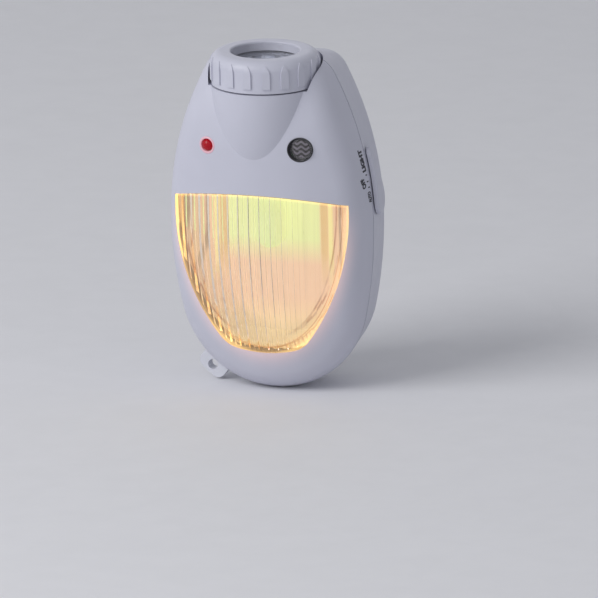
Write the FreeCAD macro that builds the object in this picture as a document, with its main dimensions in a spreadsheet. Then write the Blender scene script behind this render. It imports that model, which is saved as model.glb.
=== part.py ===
import FreeCAD, Part
import math
import os
import Sketcher

# A plug-in night light that is also a hand torch: an egg-shaped two-part case, a fluted lens
# that glows, a torch head with a screw-off bezel, a slide switch and a fold-away mains plug.
# Millimetres. X to the right, Z up, Y into the wall. The origin is the middle of the plug in
# the plane of the case's back, where it meets the wall plate.

SIZES = {
    # Case outline, seen from the front, at the parting plane
    "case_half_width": 33.1,
    "case_side_start": 26.0,
    "case_side_radius": 105.0,
    "case_low_radius": 140.0,
    "case_bottom": -27.7,
    "case_top": 80.0,
    "case_corner_radius": 10.5,
    "wall": 2.0,
    # Case depths, measured forward from the wall
    "parting_depth": 20.0,
    "front_depth": 38.3,
    "front_flat_low": 28.0,
    "front_flat_high": 52.0,
    "front_low_radius": 130.0,
    "front_high_radius": 50.0,
    "bow_axis": 20.0,
    "front_draft": 12.0,
    "front_rounding": 10.0,
    "back_rounding": 5.5,
    "back_draft": 8.0,
    "parting_gap": 0.25,
    "lip_height": 2.5,
    "lip_wall": 1.2,
    "lip_gap": 0.2,
    "lip_root": 1.5,
    "lip_bite": 0.5,
    # Torch head
    "torch_depth": 24.4,
    "bowl_radius": 17.2,
    "bowl_bottom": 36.1,
    "bowl_shoulder": 69.0,
    "bezel_seat": 71.0,
    "bezel_gap": 0.45,
    "bezel_radius": 16.9,
    "bezel_top": 81.5,
    "bezel_shoulder": 3.2,
    "bezel_opening": 10.75,
    "bezel_lip": 3.0,
    "bezel_lip_round": 0.6,
    "bezel_band": 1.5,
    "rib_height": 0.45,
    "rib_width": 2.5,
    "rib_count": 18,
    "pocket_gap": 0.6,
    "pocket_wall": 1.6,
    "barrel_radius": 14.4,
    "barrel_wall": 1.6,
    "barrel_bottom": 61.0,
    "barrel_flange": 1.8,
    "thread_gap": 0.25,
    "window_thickness": 1.2,
    "seal_height": 0.8,
    "seal_width": 1.4,
    "window_play": 0.15,
    "flange_play": 0.2,
    "reflector_set": 0.4,
    "play": 0.1,
    "reflector_wall": 0.9,
    "reflector_neck": 4.2,
    "reflector_bottom": 62.0,
    "reflector_curve": 16.0,
    "reflector_rim": 0.8,
    "bulb_radius": 2.7,
    "bulb_neck_radius": 1.7,
    "bulb_cap_radius": 3.4,
    "bulb_cap_proud": 1.6,
    "bulb_cap_step": 0.7,
    "bulb_cap_length": 8.0,
    "bulb_cap_collar": 0.8,
    "bulb_tip_radius": 1.1,
    "bulb_tip": 1.0,
    "holder_floor": 1.5,
    "bulb_top": 70.5,
    "holder_radius": 5.6,
    "holder_bottom": 48.5,
    # Lens in the front of the case
    "lens_top_half": 28.6,
    "lens_corner": 34.9,
    "lens_crown": 38.2,
    "lens_mid_half": 14.52,
    "lens_mid": -9.93,
    "lens_low_half": 9.16,
    "lens_low": -13.28,
    "lens_side_radius": 68.7,
    "lens_low_radius": 9.0,
    "lens_bottom_radius": 46.1,
    "lens_mid_lean": 37.4,
    "lens_low_lean": 78.5,
    "lens_bottom": -14.2,
    "lens_gap": 0.15,
    "flange_gap": 0.05,
    "flute_margin": 0.6,
    "flange_width": 1.6,
    "flange_thickness": 1.2,
    "flute_pitch": 3.5,
    "flute_depth": 0.9,
    "flute_count": 17,
    # Light chamber and lamp
    "chamber_front": 24.0,
    "chamber_back": 14.5,
    "chamber_wall": 1.2,
    "chamber_play": 0.5,
    "chamber_taper": 12.0,
    "lamp_depth": 22.5,
    "lamp_radius": 4.6,
    "lamp_bottom": 18.0,
    "lamp_length": 17.0,
    "lamp_tail": 4.0,
    "socket_radius": 5.6,
    "socket_top": 42.5,
    # Charge lamp and light sensor
    "charge_side": 15.6,
    "charge_height": 52.8,
    "charge_radius": 2.0,
    "charge_hole": 2.6,
    "charge_length": 6.4,
    "charge_flange": 1.0,
    "charge_flange_rise": 0.4,
    "charge_proud": 0.4,
    "sensor_side": 15.1,
    "sensor_height": 53.3,
    "sensor_radius": 3.7,
    "sensor_gap": 0.1,
    "sensor_edge": 2.2,
    "sensor_dome": 0.6,
    "sensor_proud": 0.3,
    "sensor_cell_step": 1.1,
    "sensor_cell_height": 1.4,
    "hole_back": 27.0,
    # Power side
    "pin_depth": 3.6,
    "pin_radius": 0.75,
    "pin_play": 0.05,
    "drum_radius": 3.3,
    "drum_half_length": 11.5,
    "recess_half_width": 12.0,
    "recess_top": 22.0,
    "recess_clearance": 0.4,
    "recess_wall": 1.5,
    "spring_width": 3.0,
    "spring_thickness": 0.4,
    "spring_play": 0.1,
    "finger_width": 1.5,
    "finger_height": 1.2,
    "finger_proud": 0.2,
    "finger_play": 0.2,
    "finger_slot_reach": 0.5,
    "blade_pitch": 12.7,
    "blade_thickness": 1.5,
    "blade_width": 6.35,
    "blade_length": 17.0,
    "blade_tail": 2.8,
    "blade_neck": 3.6,
    "blade_tip": 1.0,
    "blade_hole": 1.5,
    "blade_pin_play": 0.3,
    "blade_hole_reach": 12.5,
    "board_depth": 8.0,
    "board_thickness": 1.6,
    "board_half_width": 22.0,
    "board_bottom": 24.2,
    "board_top": 39.0,
    "film_side": 3.0,
    "film_rise": 3.0,
    "film_width": 12.0,
    "film_height": 9.0,
    "film_depth": 4.6,
    "can_radius": 2.2,
    "can_length": 11.0,
    "can_side": 6.0,
    "can_rise": 8.0,
    "cell_radius": 5.1,
    "cell_length": 27.0,
    "cell_height": 45.2,
    "cell_gap": 0.3,
    "cell_depth": 9.0,
    "cell_edge": 0.6,
    "cell_cap_radius": 1.8,
    "cell_cap_height": 1.0,
    "strap_thickness": 0.4,
    "strap_half": 2.0,
    # Slide switch on the right side
    "knob_height": 40.0,
    "knob_depth": 14.2,
    "knob_big_radius": 5.1,
    "knob_tip_radius": 2.0,
    "knob_low": 6.4,
    "knob_high": 8.6,
    "knob_gap": 0.4,
    "knob_thickness": 1.4,
    "knob_travel": 3.0,
    "stem_width": 2.0,
    "stem_height": 2.4,
    "stem_side": 2.6,
    "stem_rise": 0.5,
    "stem_reach": 2.6,
    "stem_root": 0.3,
    "stem_play": 0.3,
    "switch_side": 3.5,
    "switch_shoulder": 0.7,
    "switch_edge": 0.2,
    "switch_back": 5.0,
    "switch_front": 1.3,
    "switch_groove_depth": 3.0,
    "slot_depth": 1.0,
    # Fasteners and strap lug
    "screw_top_side": 18.2,
    "screw_top_height": 61.0,
    "screw_low_height": -20.8,
    "screw_radius": 1.1,
    "screw_head_radius": 2.1,
    "screw_head_depth": 9.0,
    "screw_head_height": 1.6,
    "screw_head_edge": 0.5,
    "screw_length": 14.5,
    "screw_point": 1.0,
    "screw_play": 0.2,
    "pilot_depth": 5.5,
    "pilot_start": 1.0,
    "boss_step": 0.4,
    "boss_radius": 3.3,
    "lug_angle": 40.3,
    "lug_proud": 5.9,
    "lug_hole_proud": 3.2,
    "lug_hole_radius": 1.65,
    "lug_width": 9.5,
    "lug_depth": 16.0,
    "lug_thickness": 4.0,
    "lug_set": 5.3,
    "lug_flange": 1.2,
    "lug_flange_height": 1.5,
    "lug_corner": 2.6,
    "lug_play": 0.05,
}

doc = FreeCAD.newDocument("night_light")
sheet = doc.addObject("Spreadsheet::Sheet", "sizes")
for row, (alias, number) in enumerate(SIZES.items(), start=1):
    sheet.set(f"A{row}", alias)
    sheet.set(f"B{row}", str(number))
    sheet.setAlias(f"B{row}", alias)
doc.recompute()


class Size:
    """A number together with the sheet formula that gives it, so that both can be used."""

    def __init__(self, value, text):
        self.value = float(value)
        self.text = text

    @staticmethod
    def of(item):
        return item if isinstance(item, Size) else Size(item, f"({float(item)!r})")

    def __add__(self, other):
        other = Size.of(other)
        return Size(self.value + other.value, f"({self.text} + {other.text})")

    def __sub__(self, other):
        other = Size.of(other)
        return Size(self.value - other.value, f"({self.text} - {other.text})")

    def __rsub__(self, other):
        return Size.of(other) - self

    def __mul__(self, other):
        other = Size.of(other)
        return Size(self.value * other.value, f"({self.text} * {other.text})")

    def __truediv__(self, other):
        other = Size.of(other)
        return Size(self.value / other.value, f"({self.text} / {other.text})")

    def __neg__(self):
        return Size(-self.value, f"(0 - {self.text})")

    __radd__ = __add__
    __rmul__ = __mul__


def root(size):
    """Square root of a size."""
    return Size(math.sqrt(size.value), f"sqrt({size.text})")


def sine(size):
    """Sine of an angle in degrees."""
    return Size(math.sin(math.radians(size.value)), f"sin({size.text})")


def cosine(size):
    """Cosine of an angle in degrees."""
    return Size(math.cos(math.radians(size.value)), f"cos({size.text})")


class Sheet:
    """Gives each cell of the sheet as a Size, by its alias."""

    def __getattr__(self, alias):
        return Size(sheet.get(alias), f"sizes.{alias}")


cell = Sheet()


# Helpers for bodies, sketches and features


def new_body(name):
    return doc.addObject("PartDesign::Body", name)


def new_sketch(body, name, role, lift=None, shift=None):
    """A sketch on one of its body's own origin planes, lifted along the plane's normal and shifted
    along the sketch's first axis."""
    sketch = body.newObject("Sketcher::SketchObject", name)
    support = next(f for f in body.Origin.OriginFeatures if f.Role == role)
    sketch.AttachmentSupport = [(support, "")]
    sketch.MapMode = "FlatFace"
    if lift is not None:
        sketch.setExpression("AttachmentOffset.Base.z", Size.of(lift).text)
    if shift is not None:
        sketch.setExpression("AttachmentOffset.Base.x", Size.of(shift).text)
    return sketch


def arc_between(start, end, radius, side):
    """The arc of a radius from start to end, with its centre on the left (side 1) or right (-1)."""
    chord = end - start
    left = FreeCAD.Vector(-chord.y, chord.x, 0).normalize()
    rise = math.sqrt(max(radius**2 - (chord.Length / 2) ** 2, 0.0))
    centre = (start + end) * 0.5 + left * (rise * side)
    first, last = (start, end) if side > 0 else (end, start)
    angles = [math.atan2(p.y - centre.y, p.x - centre.x) for p in (first, last)]
    circle = Part.Circle(centre, FreeCAD.Vector(0, 0, 1), radius)
    return Part.ArcOfCircle(circle, angles[0], angles[1])


def add_loop(sketch, corners):
    """A closed loop through the corners, each (u, v) or (u, v, radius, side) where the edge that
    leaves the corner is an arc. Every corner and radius is bound to the sheet."""
    corners = [tuple(Size.of(x) if i < 3 else x for i, x in enumerate(c)) for c in corners]
    points = [FreeCAD.Vector(c[0].value, c[1].value, 0) for c in corners]
    ends = []
    for i, corner in enumerate(corners):
        start, end = points[i], points[(i + 1) % len(points)]
        if len(corner) == 2:
            index = sketch.addGeometry(Part.LineSegment(start, end), False)
            ends.append((index, 1, 2))
        else:
            arc = arc_between(start, end, corner[2].value, corner[3])
            index = sketch.addGeometry(arc, False)
            ends.append((index, 1, 2) if corner[3] > 0 else (index, 2, 1))
    for i, (index, _, last) in enumerate(ends):
        after = ends[(i + 1) % len(ends)]
        sketch.addConstraint(Sketcher.Constraint("Coincident", index, last, after[0], after[1]))
    for (index, begin, _), corner in zip(ends, corners):
        for kind, size in (("DistanceX", corner[0]), ("DistanceY", corner[1])):
            made = Sketcher.Constraint(kind, -1, 1, index, begin, size.value)
            number = sketch.addConstraint(made)
            sketch.setExpression(f"Constraints[{number}]", size.text)
        if len(corner) > 2:
            number = sketch.addConstraint(Sketcher.Constraint("Radius", index, corner[2].value))
            sketch.setExpression(f"Constraints[{number}]", corner[2].text)


def add_circle(sketch, u, v, radius):
    """A circle whose centre and radius are bound to the sheet."""
    u, v, radius = Size.of(u), Size.of(v), Size.of(radius)
    circle = Part.Circle(FreeCAD.Vector(u.value, v.value, 0), FreeCAD.Vector(0, 0, 1), radius.value)
    index = sketch.addGeometry(circle, False)
    for kind, size in (("DistanceX", u), ("DistanceY", v)):
        number = sketch.addConstraint(Sketcher.Constraint(kind, -1, 1, index, 3, size.value))
        sketch.setExpression(f"Constraints[{number}]", size.text)
    number = sketch.addConstraint(Sketcher.Constraint("Radius", index, radius.value))
    sketch.setExpression(f"Constraints[{number}]", radius.text)


def sweep_feature(body, kind, sketch, length, backward=False, centred=False, taper=None):
    """A Pad or a Pocket of a sketch."""
    made = body.newObject(f"PartDesign::{kind}", f"{sketch.Name}_{kind.lower()}")
    made.Profile = sketch
    made.setExpression("Length", Size.of(length).text)
    made.Reversed = backward
    made.Midplane = centred
    if taper is not None:
        made.setExpression("TaperAngle", taper.text)
    return made


def turn_feature(body, kind, sketch):
    """A Revolution or a Groove of a sketch, all round the sketch's vertical axis."""
    made = body.newObject(f"PartDesign::{kind}", f"{sketch.Name}_{kind.lower()}")
    made.Profile = sketch
    made.ReferenceAxis = (sketch, ["V_Axis"])
    made.Angle = 360
    return made


def turned_body(name, corners, place=None):
    """A body turned about its own vertical axis, from a half section in (radius, height)."""
    body = new_body(name)
    sketch = new_sketch(body, f"{name}_section", "XZ_Plane")
    add_loop(sketch, corners)
    turn_feature(body, "Revolution", sketch)
    if place is not None:
        put(body, *place)
    return body


def put(item, x=0, y=0, z=0):
    """Binds an object's place to the sheet."""
    for axis, size in (("x", x), ("y", y), ("z", z)):
        item.setExpression(f"Placement.Base.{axis}", Size.of(size).text)
    return item


def box(name, low, high):
    """A Part box between two corners."""
    made = doc.addObject("Part::Box", name)
    for prop, lo, hi in zip(("Length", "Width", "Height"), low, high):
        made.setExpression(prop, (Size.of(hi) - lo).text)
    return put(made, *low)


def cylinder(name, radius, length, base, axis="z"):
    """A Part cylinder from a base point along x, y or z."""
    made = doc.addObject("Part::Cylinder", name)
    made.setExpression("Radius", Size.of(radius).text)
    made.setExpression("Height", Size.of(length).text)
    turns = {
        "x": FreeCAD.Rotation(FreeCAD.Vector(0, 1, 0), 90),
        "y": FreeCAD.Rotation(FreeCAD.Vector(1, 0, 0), -90),
        "z": FreeCAD.Rotation(),
    }
    made.Placement = FreeCAD.Placement(FreeCAD.Vector(), turns[axis])
    return put(made, *base)


def join(name, items):
    made = doc.addObject("Part::MultiFuse", name)
    made.Shapes = items
    return made


def cut(name, base, tools):
    made = doc.addObject("Part::Cut", name)
    made.Base = base
    made.Tool = tools[0] if len(tools) == 1 else join(f"{name}_tools", tools)
    return made


def common(name, items):
    made = doc.addObject("Part::MultiCommon", name)
    made.Shapes = items
    return made


def meeting_edges(shape, first, second):
    """Names of the edges where a face that passes one test meets a face that passes the other."""
    names = []
    for number, edge in enumerate(shape.Edges, start=1):
        faces = shape.ancestorsOfType(edge, Part.Face)
        if any(first(f) for f in faces) and any(second(f) for f in faces):
            names.append(f"Edge{number}")
    return names


def y_slope(face):
    """How far a face's normal leans along Y at its middle."""
    u0, u1, v0, v1 = face.ParameterRange
    return face.normalAt((u0 + u1) / 2, (v0 + v1) / 2).y


def round_edges(body, name, radius, first, second):
    """A fillet along the edges where two sets of faces meet."""
    doc.recompute()
    made = body.newObject("PartDesign::Fillet", name)
    before = body.Tip if body.Tip is not made else made.BaseFeature
    made.Base = (before, meeting_edges(before.Shape, first, second))
    made.setExpression("Radius", Size.of(radius).text)
    return made


# Case outline, front surface and the two hollow forms


def chin_circle():
    """Centre height and radius of the circle that closes the outline below, where it runs
    smoothly into the low side arcs."""
    low = cell.case_low_radius
    run = low - cell.case_half_width
    drop = cell.case_side_start - cell.case_bottom
    radius = (low * low - run * run - drop * drop) / ((low - drop) * 2)
    return cell.case_bottom + radius, radius


chin_z, chin_radius = chin_circle()


def case_outline(sketch, inset):
    """The egg seen from the front: a round chin, long side arcs and a flat top."""
    half = cell.case_half_width - inset
    reach = cell.case_side_radius - cell.case_corner_radius
    rise = cell.case_top - cell.case_corner_radius - cell.case_side_start
    run = root(reach * reach - rise * rise)
    scale = (cell.case_side_radius - inset) / reach
    knee_x = cell.case_half_width - cell.case_side_radius + run * scale
    knee_z = cell.case_side_start + rise * scale
    flat = cell.case_half_width - cell.case_side_radius + run
    top = cell.case_top - inset
    side = cell.case_side_radius - inset
    corner = cell.case_corner_radius - inset
    low = cell.case_low_radius - inset
    chin = chin_radius - inset
    chin_scale = chin / (cell.case_low_radius - chin_radius)
    join_x = (cell.case_low_radius - cell.case_half_width) * chin_scale
    join_z = chin_z - (cell.case_side_start - chin_z) * chin_scale
    add_loop(
        sketch,
        [
            (join_x, join_z, low, 1),
            (half, cell.case_side_start, side, 1),
            (knee_x, knee_z, corner, 1),
            (flat, top),
            (-flat, top, corner, 1),
            (-knee_x, knee_z, side, 1),
            (-half, cell.case_side_start, low, 1),
            (-join_x, join_z, chin, 1),
            (0, cell.case_bottom + inset, chin, 1),
        ],
    )


OVERSHOOT = 6.0
FRONT_SLOPE = 0.65


def front_section(sketch, inset):
    """The space in front of the case, as (depth from the bow's axis, height)."""
    low_z = cell.case_bottom - OVERSHOOT
    high_z = cell.case_top + OVERSHOOT
    low_radius = cell.front_low_radius - inset
    high_radius = cell.front_high_radius - inset
    low_rise = cell.front_flat_low - low_z
    high_rise = high_z - cell.front_flat_high
    face = -(cell.front_depth - inset) - cell.bow_axis
    low_y = face + low_radius - root(low_radius * low_radius - low_rise * low_rise)
    high_y = face + high_radius - root(high_radius * high_radius - high_rise * high_rise)
    outside = -(cell.front_depth + cell.case_half_width + cell.bow_axis)
    add_loop(
        sketch,
        [
            (low_y, low_z, low_radius, -1),
            (face, cell.front_flat_low),
            (face, cell.front_flat_high, high_radius, -1),
            (high_y, high_z),
            (outside, high_z),
            (outside, low_z),
        ],
    )


def front_form(name, inset):
    """The front half of the egg as a solid, inset all round: drafted, bowed and rounded."""
    body = new_body(name)
    outline = new_sketch(body, f"{name}_outline", "XZ_Plane", cell.parting_depth)
    case_outline(outline, inset)
    sweep_feature(body, "Pad", outline, cell.front_depth, taper=-cell.front_draft)
    section = new_sketch(body, f"{name}_front", "YZ_Plane", shift=cell.bow_axis)
    front_section(section, inset)
    turn_feature(body, "Groove", section)
    round_edges(
        body,
        f"{name}_rounding",
        cell.front_rounding - inset,
        lambda f: abs(y_slope(f)) < FRONT_SLOPE,
        lambda f: y_slope(f) < -FRONT_SLOPE,
    )
    return body


def back_form(name, inset):
    """The back half of the egg as a solid, inset all round: drafted, with a rounded back edge."""
    body = new_body(name)
    outline = new_sketch(body, f"{name}_outline", "XZ_Plane", cell.parting_depth)
    case_outline(outline, inset)
    sweep_feature(body, "Pad", outline, cell.parting_depth - inset, True, taper=-cell.back_draft)
    round_edges(
        body,
        f"{name}_rounding",
        cell.back_rounding - inset,
        lambda f: y_slope(f) > 0.99,
        lambda f: abs(y_slope(f)) < 0.5,
    )
    return body


front_outer = front_form("front_outer", Size.of(0))
front_inner = front_form("front_inner", cell.wall)
back_outer = back_form("back_outer", Size.of(0))
back_inner = back_form("back_inner", cell.wall)


# Torch pocket and bowl shared by both halves of the case


def at_torch(item, height):
    return put(item, 0, -cell.torch_depth, height)


def torch_cylinder(name, radius, low, high):
    return cylinder(name, radius, Size.of(high) - low, (0, -cell.torch_depth, low))


def bowl(name, inset):
    """The round-bottomed bowl that carries the torch head, inset all round."""
    radius = cell.bowl_radius - inset
    dome = doc.addObject("Part::Ellipsoid", f"{name}_dome")
    dome.setExpression("Radius1", (cell.bowl_shoulder - cell.bowl_bottom - inset).text)
    dome.setExpression("Radius2", radius.text)
    dome.setExpression("Radius3", radius.text)
    dome.Angle1 = -90
    dome.Angle2 = 0
    at_torch(dome, cell.bowl_shoulder)
    drum = torch_cylinder(f"{name}_drum", radius, cell.bowl_shoulder, cell.bezel_seat)
    return join(name, [dome, drum])


ABOVE = 12.0
pocket_radius = cell.bezel_radius + cell.rib_height + cell.pocket_gap
pocket_floor = cell.bezel_seat - cell.pocket_wall
above_case = cell.case_top + ABOVE


def pocket_liner(name):
    return torch_cylinder(name, pocket_radius + cell.pocket_wall, pocket_floor, above_case)


def torch_clearances(name):
    """The pocket that the bezel turns in, and the hole in its floor for the barrel."""
    hole = torch_cylinder(
        f"{name}_neck", cell.barrel_radius + cell.play, cell.barrel_bottom, above_case
    )
    return [torch_cylinder(f"{name}_pocket", pocket_radius, cell.bezel_seat, above_case), hole]


# Case screws: one low in the middle and one above each shoulder

SCREW_PLACES = [
    (cell.screw_top_side, cell.screw_top_height),
    (-cell.screw_top_side, cell.screw_top_height),
    (Size.of(0), cell.screw_low_height),
]


def screw_cylinders(name, radius, back, length):
    """A cylinder at each screw, from a depth behind the front towards the room."""
    made = []
    for number, (x, z) in enumerate(SCREW_PLACES):
        start = (x, -(Size.of(back) + length), z)
        made.append(cylinder(f"{name}_{number}", radius, length, start, "y"))
    return made


# Lens opening


def lens_outline(sketch, inset):
    """The window seen from the front: a crowned top edge and a deep rounded chin."""
    top_half = cell.lens_top_half - inset
    corner = cell.lens_corner - inset
    sag = cell.lens_crown - cell.lens_corner
    crown = (top_half * top_half + sag * sag) / (sag * 2)
    mid_x = cell.lens_mid_half - inset * cosine(cell.lens_mid_lean)
    mid_z = cell.lens_mid + inset * sine(cell.lens_mid_lean)
    low_x = cell.lens_low_half - inset * cosine(cell.lens_low_lean)
    low_z = cell.lens_low + inset * sine(cell.lens_low_lean)
    side, low = cell.lens_side_radius - inset, cell.lens_low_radius - inset
    chin = cell.lens_bottom_radius - inset
    add_loop(
        sketch,
        [
            (top_half, corner, crown, 1),
            (-top_half, corner, side, 1),
            (-mid_x, mid_z, low, 1),
            (-low_x, low_z, chin, 1),
            (0, cell.lens_bottom + inset, chin, 1),
            (low_x, low_z, low, 1),
            (mid_x, mid_z, side, 1),
        ],
    )


def lens_prism(name, inset, back=None):
    """A prism of the window's outline, from a depth forward past the front."""
    body = new_body(name)
    start = cell.parting_depth if back is None else back
    sketch = new_sketch(body, f"{name}_outline", "XZ_Plane", start)
    lens_outline(sketch, Size.of(inset))
    sweep_feature(body, "Pad", sketch, cell.front_depth)
    return body


# Charge lamp and sensor, which look out forward


def front_surface_depth(x, z):
    """Depth of the case's front at a place in its flat or upper part."""
    rise = z - cell.front_flat_high
    radius = cell.front_high_radius
    profile = cell.front_depth - radius + root(radius * radius - rise * rise)
    reach = profile + cell.bow_axis
    return root(reach * reach - x * x) - cell.bow_axis


charge_tip = front_surface_depth(cell.charge_side, cell.charge_height)
sensor_face = front_surface_depth(cell.sensor_side, cell.sensor_height)


def facing_forward(body, x, y, z):
    body.Placement = FreeCAD.Placement(
        FreeCAD.Vector(), FreeCAD.Rotation(FreeCAD.Vector(1, 0, 0), 90)
    )
    return put(body, x, y, z)


def outline_slice(name, inset, front, length):
    """A slice of the case outline, inset, that starts at a depth and goes towards the wall."""
    body = new_body(name)
    sketch = new_sketch(body, f"{name}_outline", "XZ_Plane", front)
    case_outline(sketch, inset)
    sweep_feature(body, "Pad", sketch, length, True)
    return body


# Front shell

# A fine groove round the parting plane, where the two shells meet
parting_front = cell.parting_depth + cell.parting_gap
parting_whole = outline_slice("parting_whole", -cell.wall, parting_front, cell.wall)
parting_core = outline_slice("parting_core", cell.wall / 3, parting_front, cell.wall)
parting_groove = cut("parting_groove", parting_whole, [parting_core])

ROOM = 120.0
front_side = box("front_side", (-ROOM, -ROOM, -ROOM), (ROOM, -cell.parting_depth, ROOM))
bowl_front = common("bowl_front", [bowl("bowl_outer", Size.of(0)), front_side])
front_solid = join("front_solid", [front_outer, bowl_front])
front_hollow = join("front_hollow", [front_inner, bowl("bowl_inner", cell.wall)])
front_cavity = cut("front_cavity", front_hollow, [pocket_liner("front_liner")])
front_skin = cut("front_skin", front_solid, [front_cavity])
front_boss_posts = join(
    "front_boss_posts",
    screw_cylinders(
        "front_boss", cell.boss_radius - cell.boss_step, cell.parting_depth, cell.front_depth
    ),
)
front_bosses = common("front_bosses", [front_boss_posts, front_inner])
front_pilots = screw_cylinders(
    "front_pilot", cell.screw_radius, cell.parting_depth - cell.pilot_start, cell.pilot_depth
)
charge_hole = cylinder(
    "charge_hole",
    cell.charge_hole,
    cell.front_depth * 2 - cell.hole_back,
    (-cell.charge_side, -(cell.front_depth * 2), cell.charge_height),
    "y",
)
sensor_hole = cylinder(
    "sensor_hole",
    cell.sensor_radius + cell.sensor_gap,
    cell.front_depth * 2 - cell.hole_back,
    (cell.sensor_side, -(cell.front_depth * 2), cell.sensor_height),
    "y",
)
front_shell = cut(
    "front_shell",
    join("front_shell_whole", [front_skin, front_bosses]),
    [lens_prism("lens_opening", 0), charge_hole, sensor_hole, parting_groove]
    + front_pilots
    + torch_clearances("front"),
)

# Fluted lens: a flush plug, a flange behind the shell and upright ribs on the inner face

lens_plug = common("lens_plug", [front_outer, lens_prism("lens_plug_prism", cell.lens_gap)])
flange_front = front_form("flange_front", cell.wall + cell.flange_gap)
lens_flange = common(
    "lens_flange", [flange_front, lens_prism("lens_flange_prism", -cell.flange_width)]
)
lens_back_inset = cell.wall + cell.flange_thickness
lens_back = front_form("lens_back", lens_back_inset)
lens_plate = cut("lens_plate", join("lens_blank", [lens_plug, lens_flange]), [lens_back])


def profile_edges(inset, low_z, high_z):
    """The front's side profile, inset, as edges in the plane X = 0 from low to high."""
    def edge(radius, join_z, z0, z1):
        centre = FreeCAD.Vector(0, -cell.front_depth.value + radius.value, join_z.value)
        points = []
        for z in (z0, (z0 + z1) / 2, z1):
            reach = radius.value - inset
            y = centre.y - math.sqrt(reach**2 - (z - join_z.value) ** 2)
            points.append(FreeCAD.Vector(0, y, z))
        return Part.Arc(*points).toShape()
    low = edge(cell.front_low_radius, cell.front_flat_low, low_z, cell.front_flat_low.value)
    front = -(cell.front_depth.value - inset)
    straight = Part.LineSegment(
        FreeCAD.Vector(0, front, cell.front_flat_low.value), FreeCAD.Vector(0, front, high_z)
    ).toShape()
    return [low, straight]


def flute_ribs():
    """Ribs that follow the lens's inner face: one band of the profile, turned about the bow's
    axis by half a pitch at each place."""
    inner = lens_back_inset.value
    low_z = cell.lens_bottom.value - cell.flange_width.value
    high_z = cell.lens_crown.value + cell.flange_width.value
    near = profile_edges(inner - cell.flange_thickness.value / 2, low_z, high_z)
    far = profile_edges(inner + cell.flute_depth.value, low_z, high_z)
    ends = []
    for which in (0, -1):
        a = (near[which].Vertexes[which]).Point
        b = (far[which].Vertexes[which]).Point
        ends.append(Part.LineSegment(a, b).toShape())
    face = Part.Face(Part.Wire(Part.__sortEdges__(near + far + ends)))
    axis = FreeCAD.Vector(0, cell.bow_axis.value, 0)
    up = FreeCAD.Vector(0, 0, 1)
    reach = cell.front_depth.value + cell.bow_axis.value - inner
    pitch = math.degrees(cell.flute_pitch.value / reach)
    count = int(cell.flute_count.value)
    ribs = []
    for number in range(count):
        start = (number - (count - 1) / 2) * pitch - pitch / 4
        rib = face.copy()
        rib.rotate(axis, up, start)
        ribs.append(rib.revolve(axis, up, pitch / 2))
    return Part.makeCompound(ribs)


ribs = doc.addObject("Part::Feature", "flute_ribs")
ribs.Shape = flute_ribs()
kept_ribs = common("kept_ribs", [ribs, lens_prism("rib_prism", cell.lens_gap + cell.flute_margin)])
lens = join("night_light_lens", [lens_plate, kept_ribs])

# Light chamber behind the lens, with its lamp and socket


def chamber_form(name, inset, back, front):
    """A tray form that narrows towards the wall."""
    body = new_body(name)
    sketch = new_sketch(body, f"{name}_outline", "XZ_Plane", front)
    lens_outline(sketch, inset)
    sweep_feature(body, "Pad", sketch, front - back, True, taper=-cell.chamber_taper)
    return body


chamber_outer = chamber_form(
    "chamber_outer", cell.chamber_play, cell.chamber_back - cell.chamber_wall, cell.chamber_front
)
chamber_inner = chamber_form(
    "chamber_inner", cell.chamber_wall + cell.chamber_play, cell.chamber_back, cell.chamber_front
)
socket_low = cell.lamp_bottom + cell.lamp_length
socket_clear = cylinder(
    "socket_clear",
    cell.socket_radius + cell.play,
    cell.socket_top - socket_low + cell.chamber_wall * 2,
    (0, -cell.lamp_depth, socket_low - cell.chamber_wall * 2),
)
lamp_reflector = cut("lamp_reflector", chamber_outer, [chamber_inner, socket_clear])
LAMP_NECK = 0.72
night_lamp = turned_body(
    "night_lamp",
    [
        (0, 0, cell.lamp_radius, 1),
        (cell.lamp_radius, cell.lamp_radius),
        (cell.lamp_radius, cell.lamp_length * LAMP_NECK),
        (cell.lamp_radius * LAMP_NECK, cell.lamp_length),
        (cell.lamp_radius * LAMP_NECK, cell.lamp_length + cell.lamp_tail),
        (0, cell.lamp_length + cell.lamp_tail),
    ],
    (0, -cell.lamp_depth, cell.lamp_bottom),
)
lamp_socket = turned_body(
    "lamp_socket",
    [
        (cell.lamp_radius * LAMP_NECK, 0),
        (cell.socket_radius, 0),
        (cell.socket_radius, cell.socket_top - socket_low),
        (0, cell.socket_top - socket_low),
        (0, cell.lamp_tail),
        (cell.lamp_radius * LAMP_NECK, cell.lamp_tail),
    ],
    (0, -cell.lamp_depth, socket_low),
)

# Charge lamp and light sensor
charge_lamp = turned_body(
    "charge_lamp",
    [
        (0, 0),
        (cell.charge_radius + cell.charge_flange_rise, 0),
        (cell.charge_radius + cell.charge_flange_rise, cell.charge_flange),
        (cell.charge_radius, cell.charge_flange),
        (cell.charge_radius, cell.charge_length - cell.charge_radius, cell.charge_radius, 1),
        (0, cell.charge_length),
    ],
)
charge_back = cell.charge_length - charge_tip - cell.charge_proud
facing_forward(charge_lamp, -cell.charge_side, charge_back, cell.charge_height)
sensor_height = cell.sensor_edge + cell.sensor_dome
sensor_curve = (
    cell.sensor_radius * cell.sensor_radius + cell.sensor_dome * cell.sensor_dome
) / (cell.sensor_dome * 2)
sensor_window = turned_body(
    "light_sensor_window",
    [
        (0, 0),
        (cell.sensor_radius, 0),
        (cell.sensor_radius, cell.sensor_edge, sensor_curve, 1),
        (0, sensor_height),
    ],
)
sensor_back = sensor_height - sensor_face - cell.sensor_proud
facing_forward(sensor_window, cell.sensor_side, sensor_back, cell.sensor_height)
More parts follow.
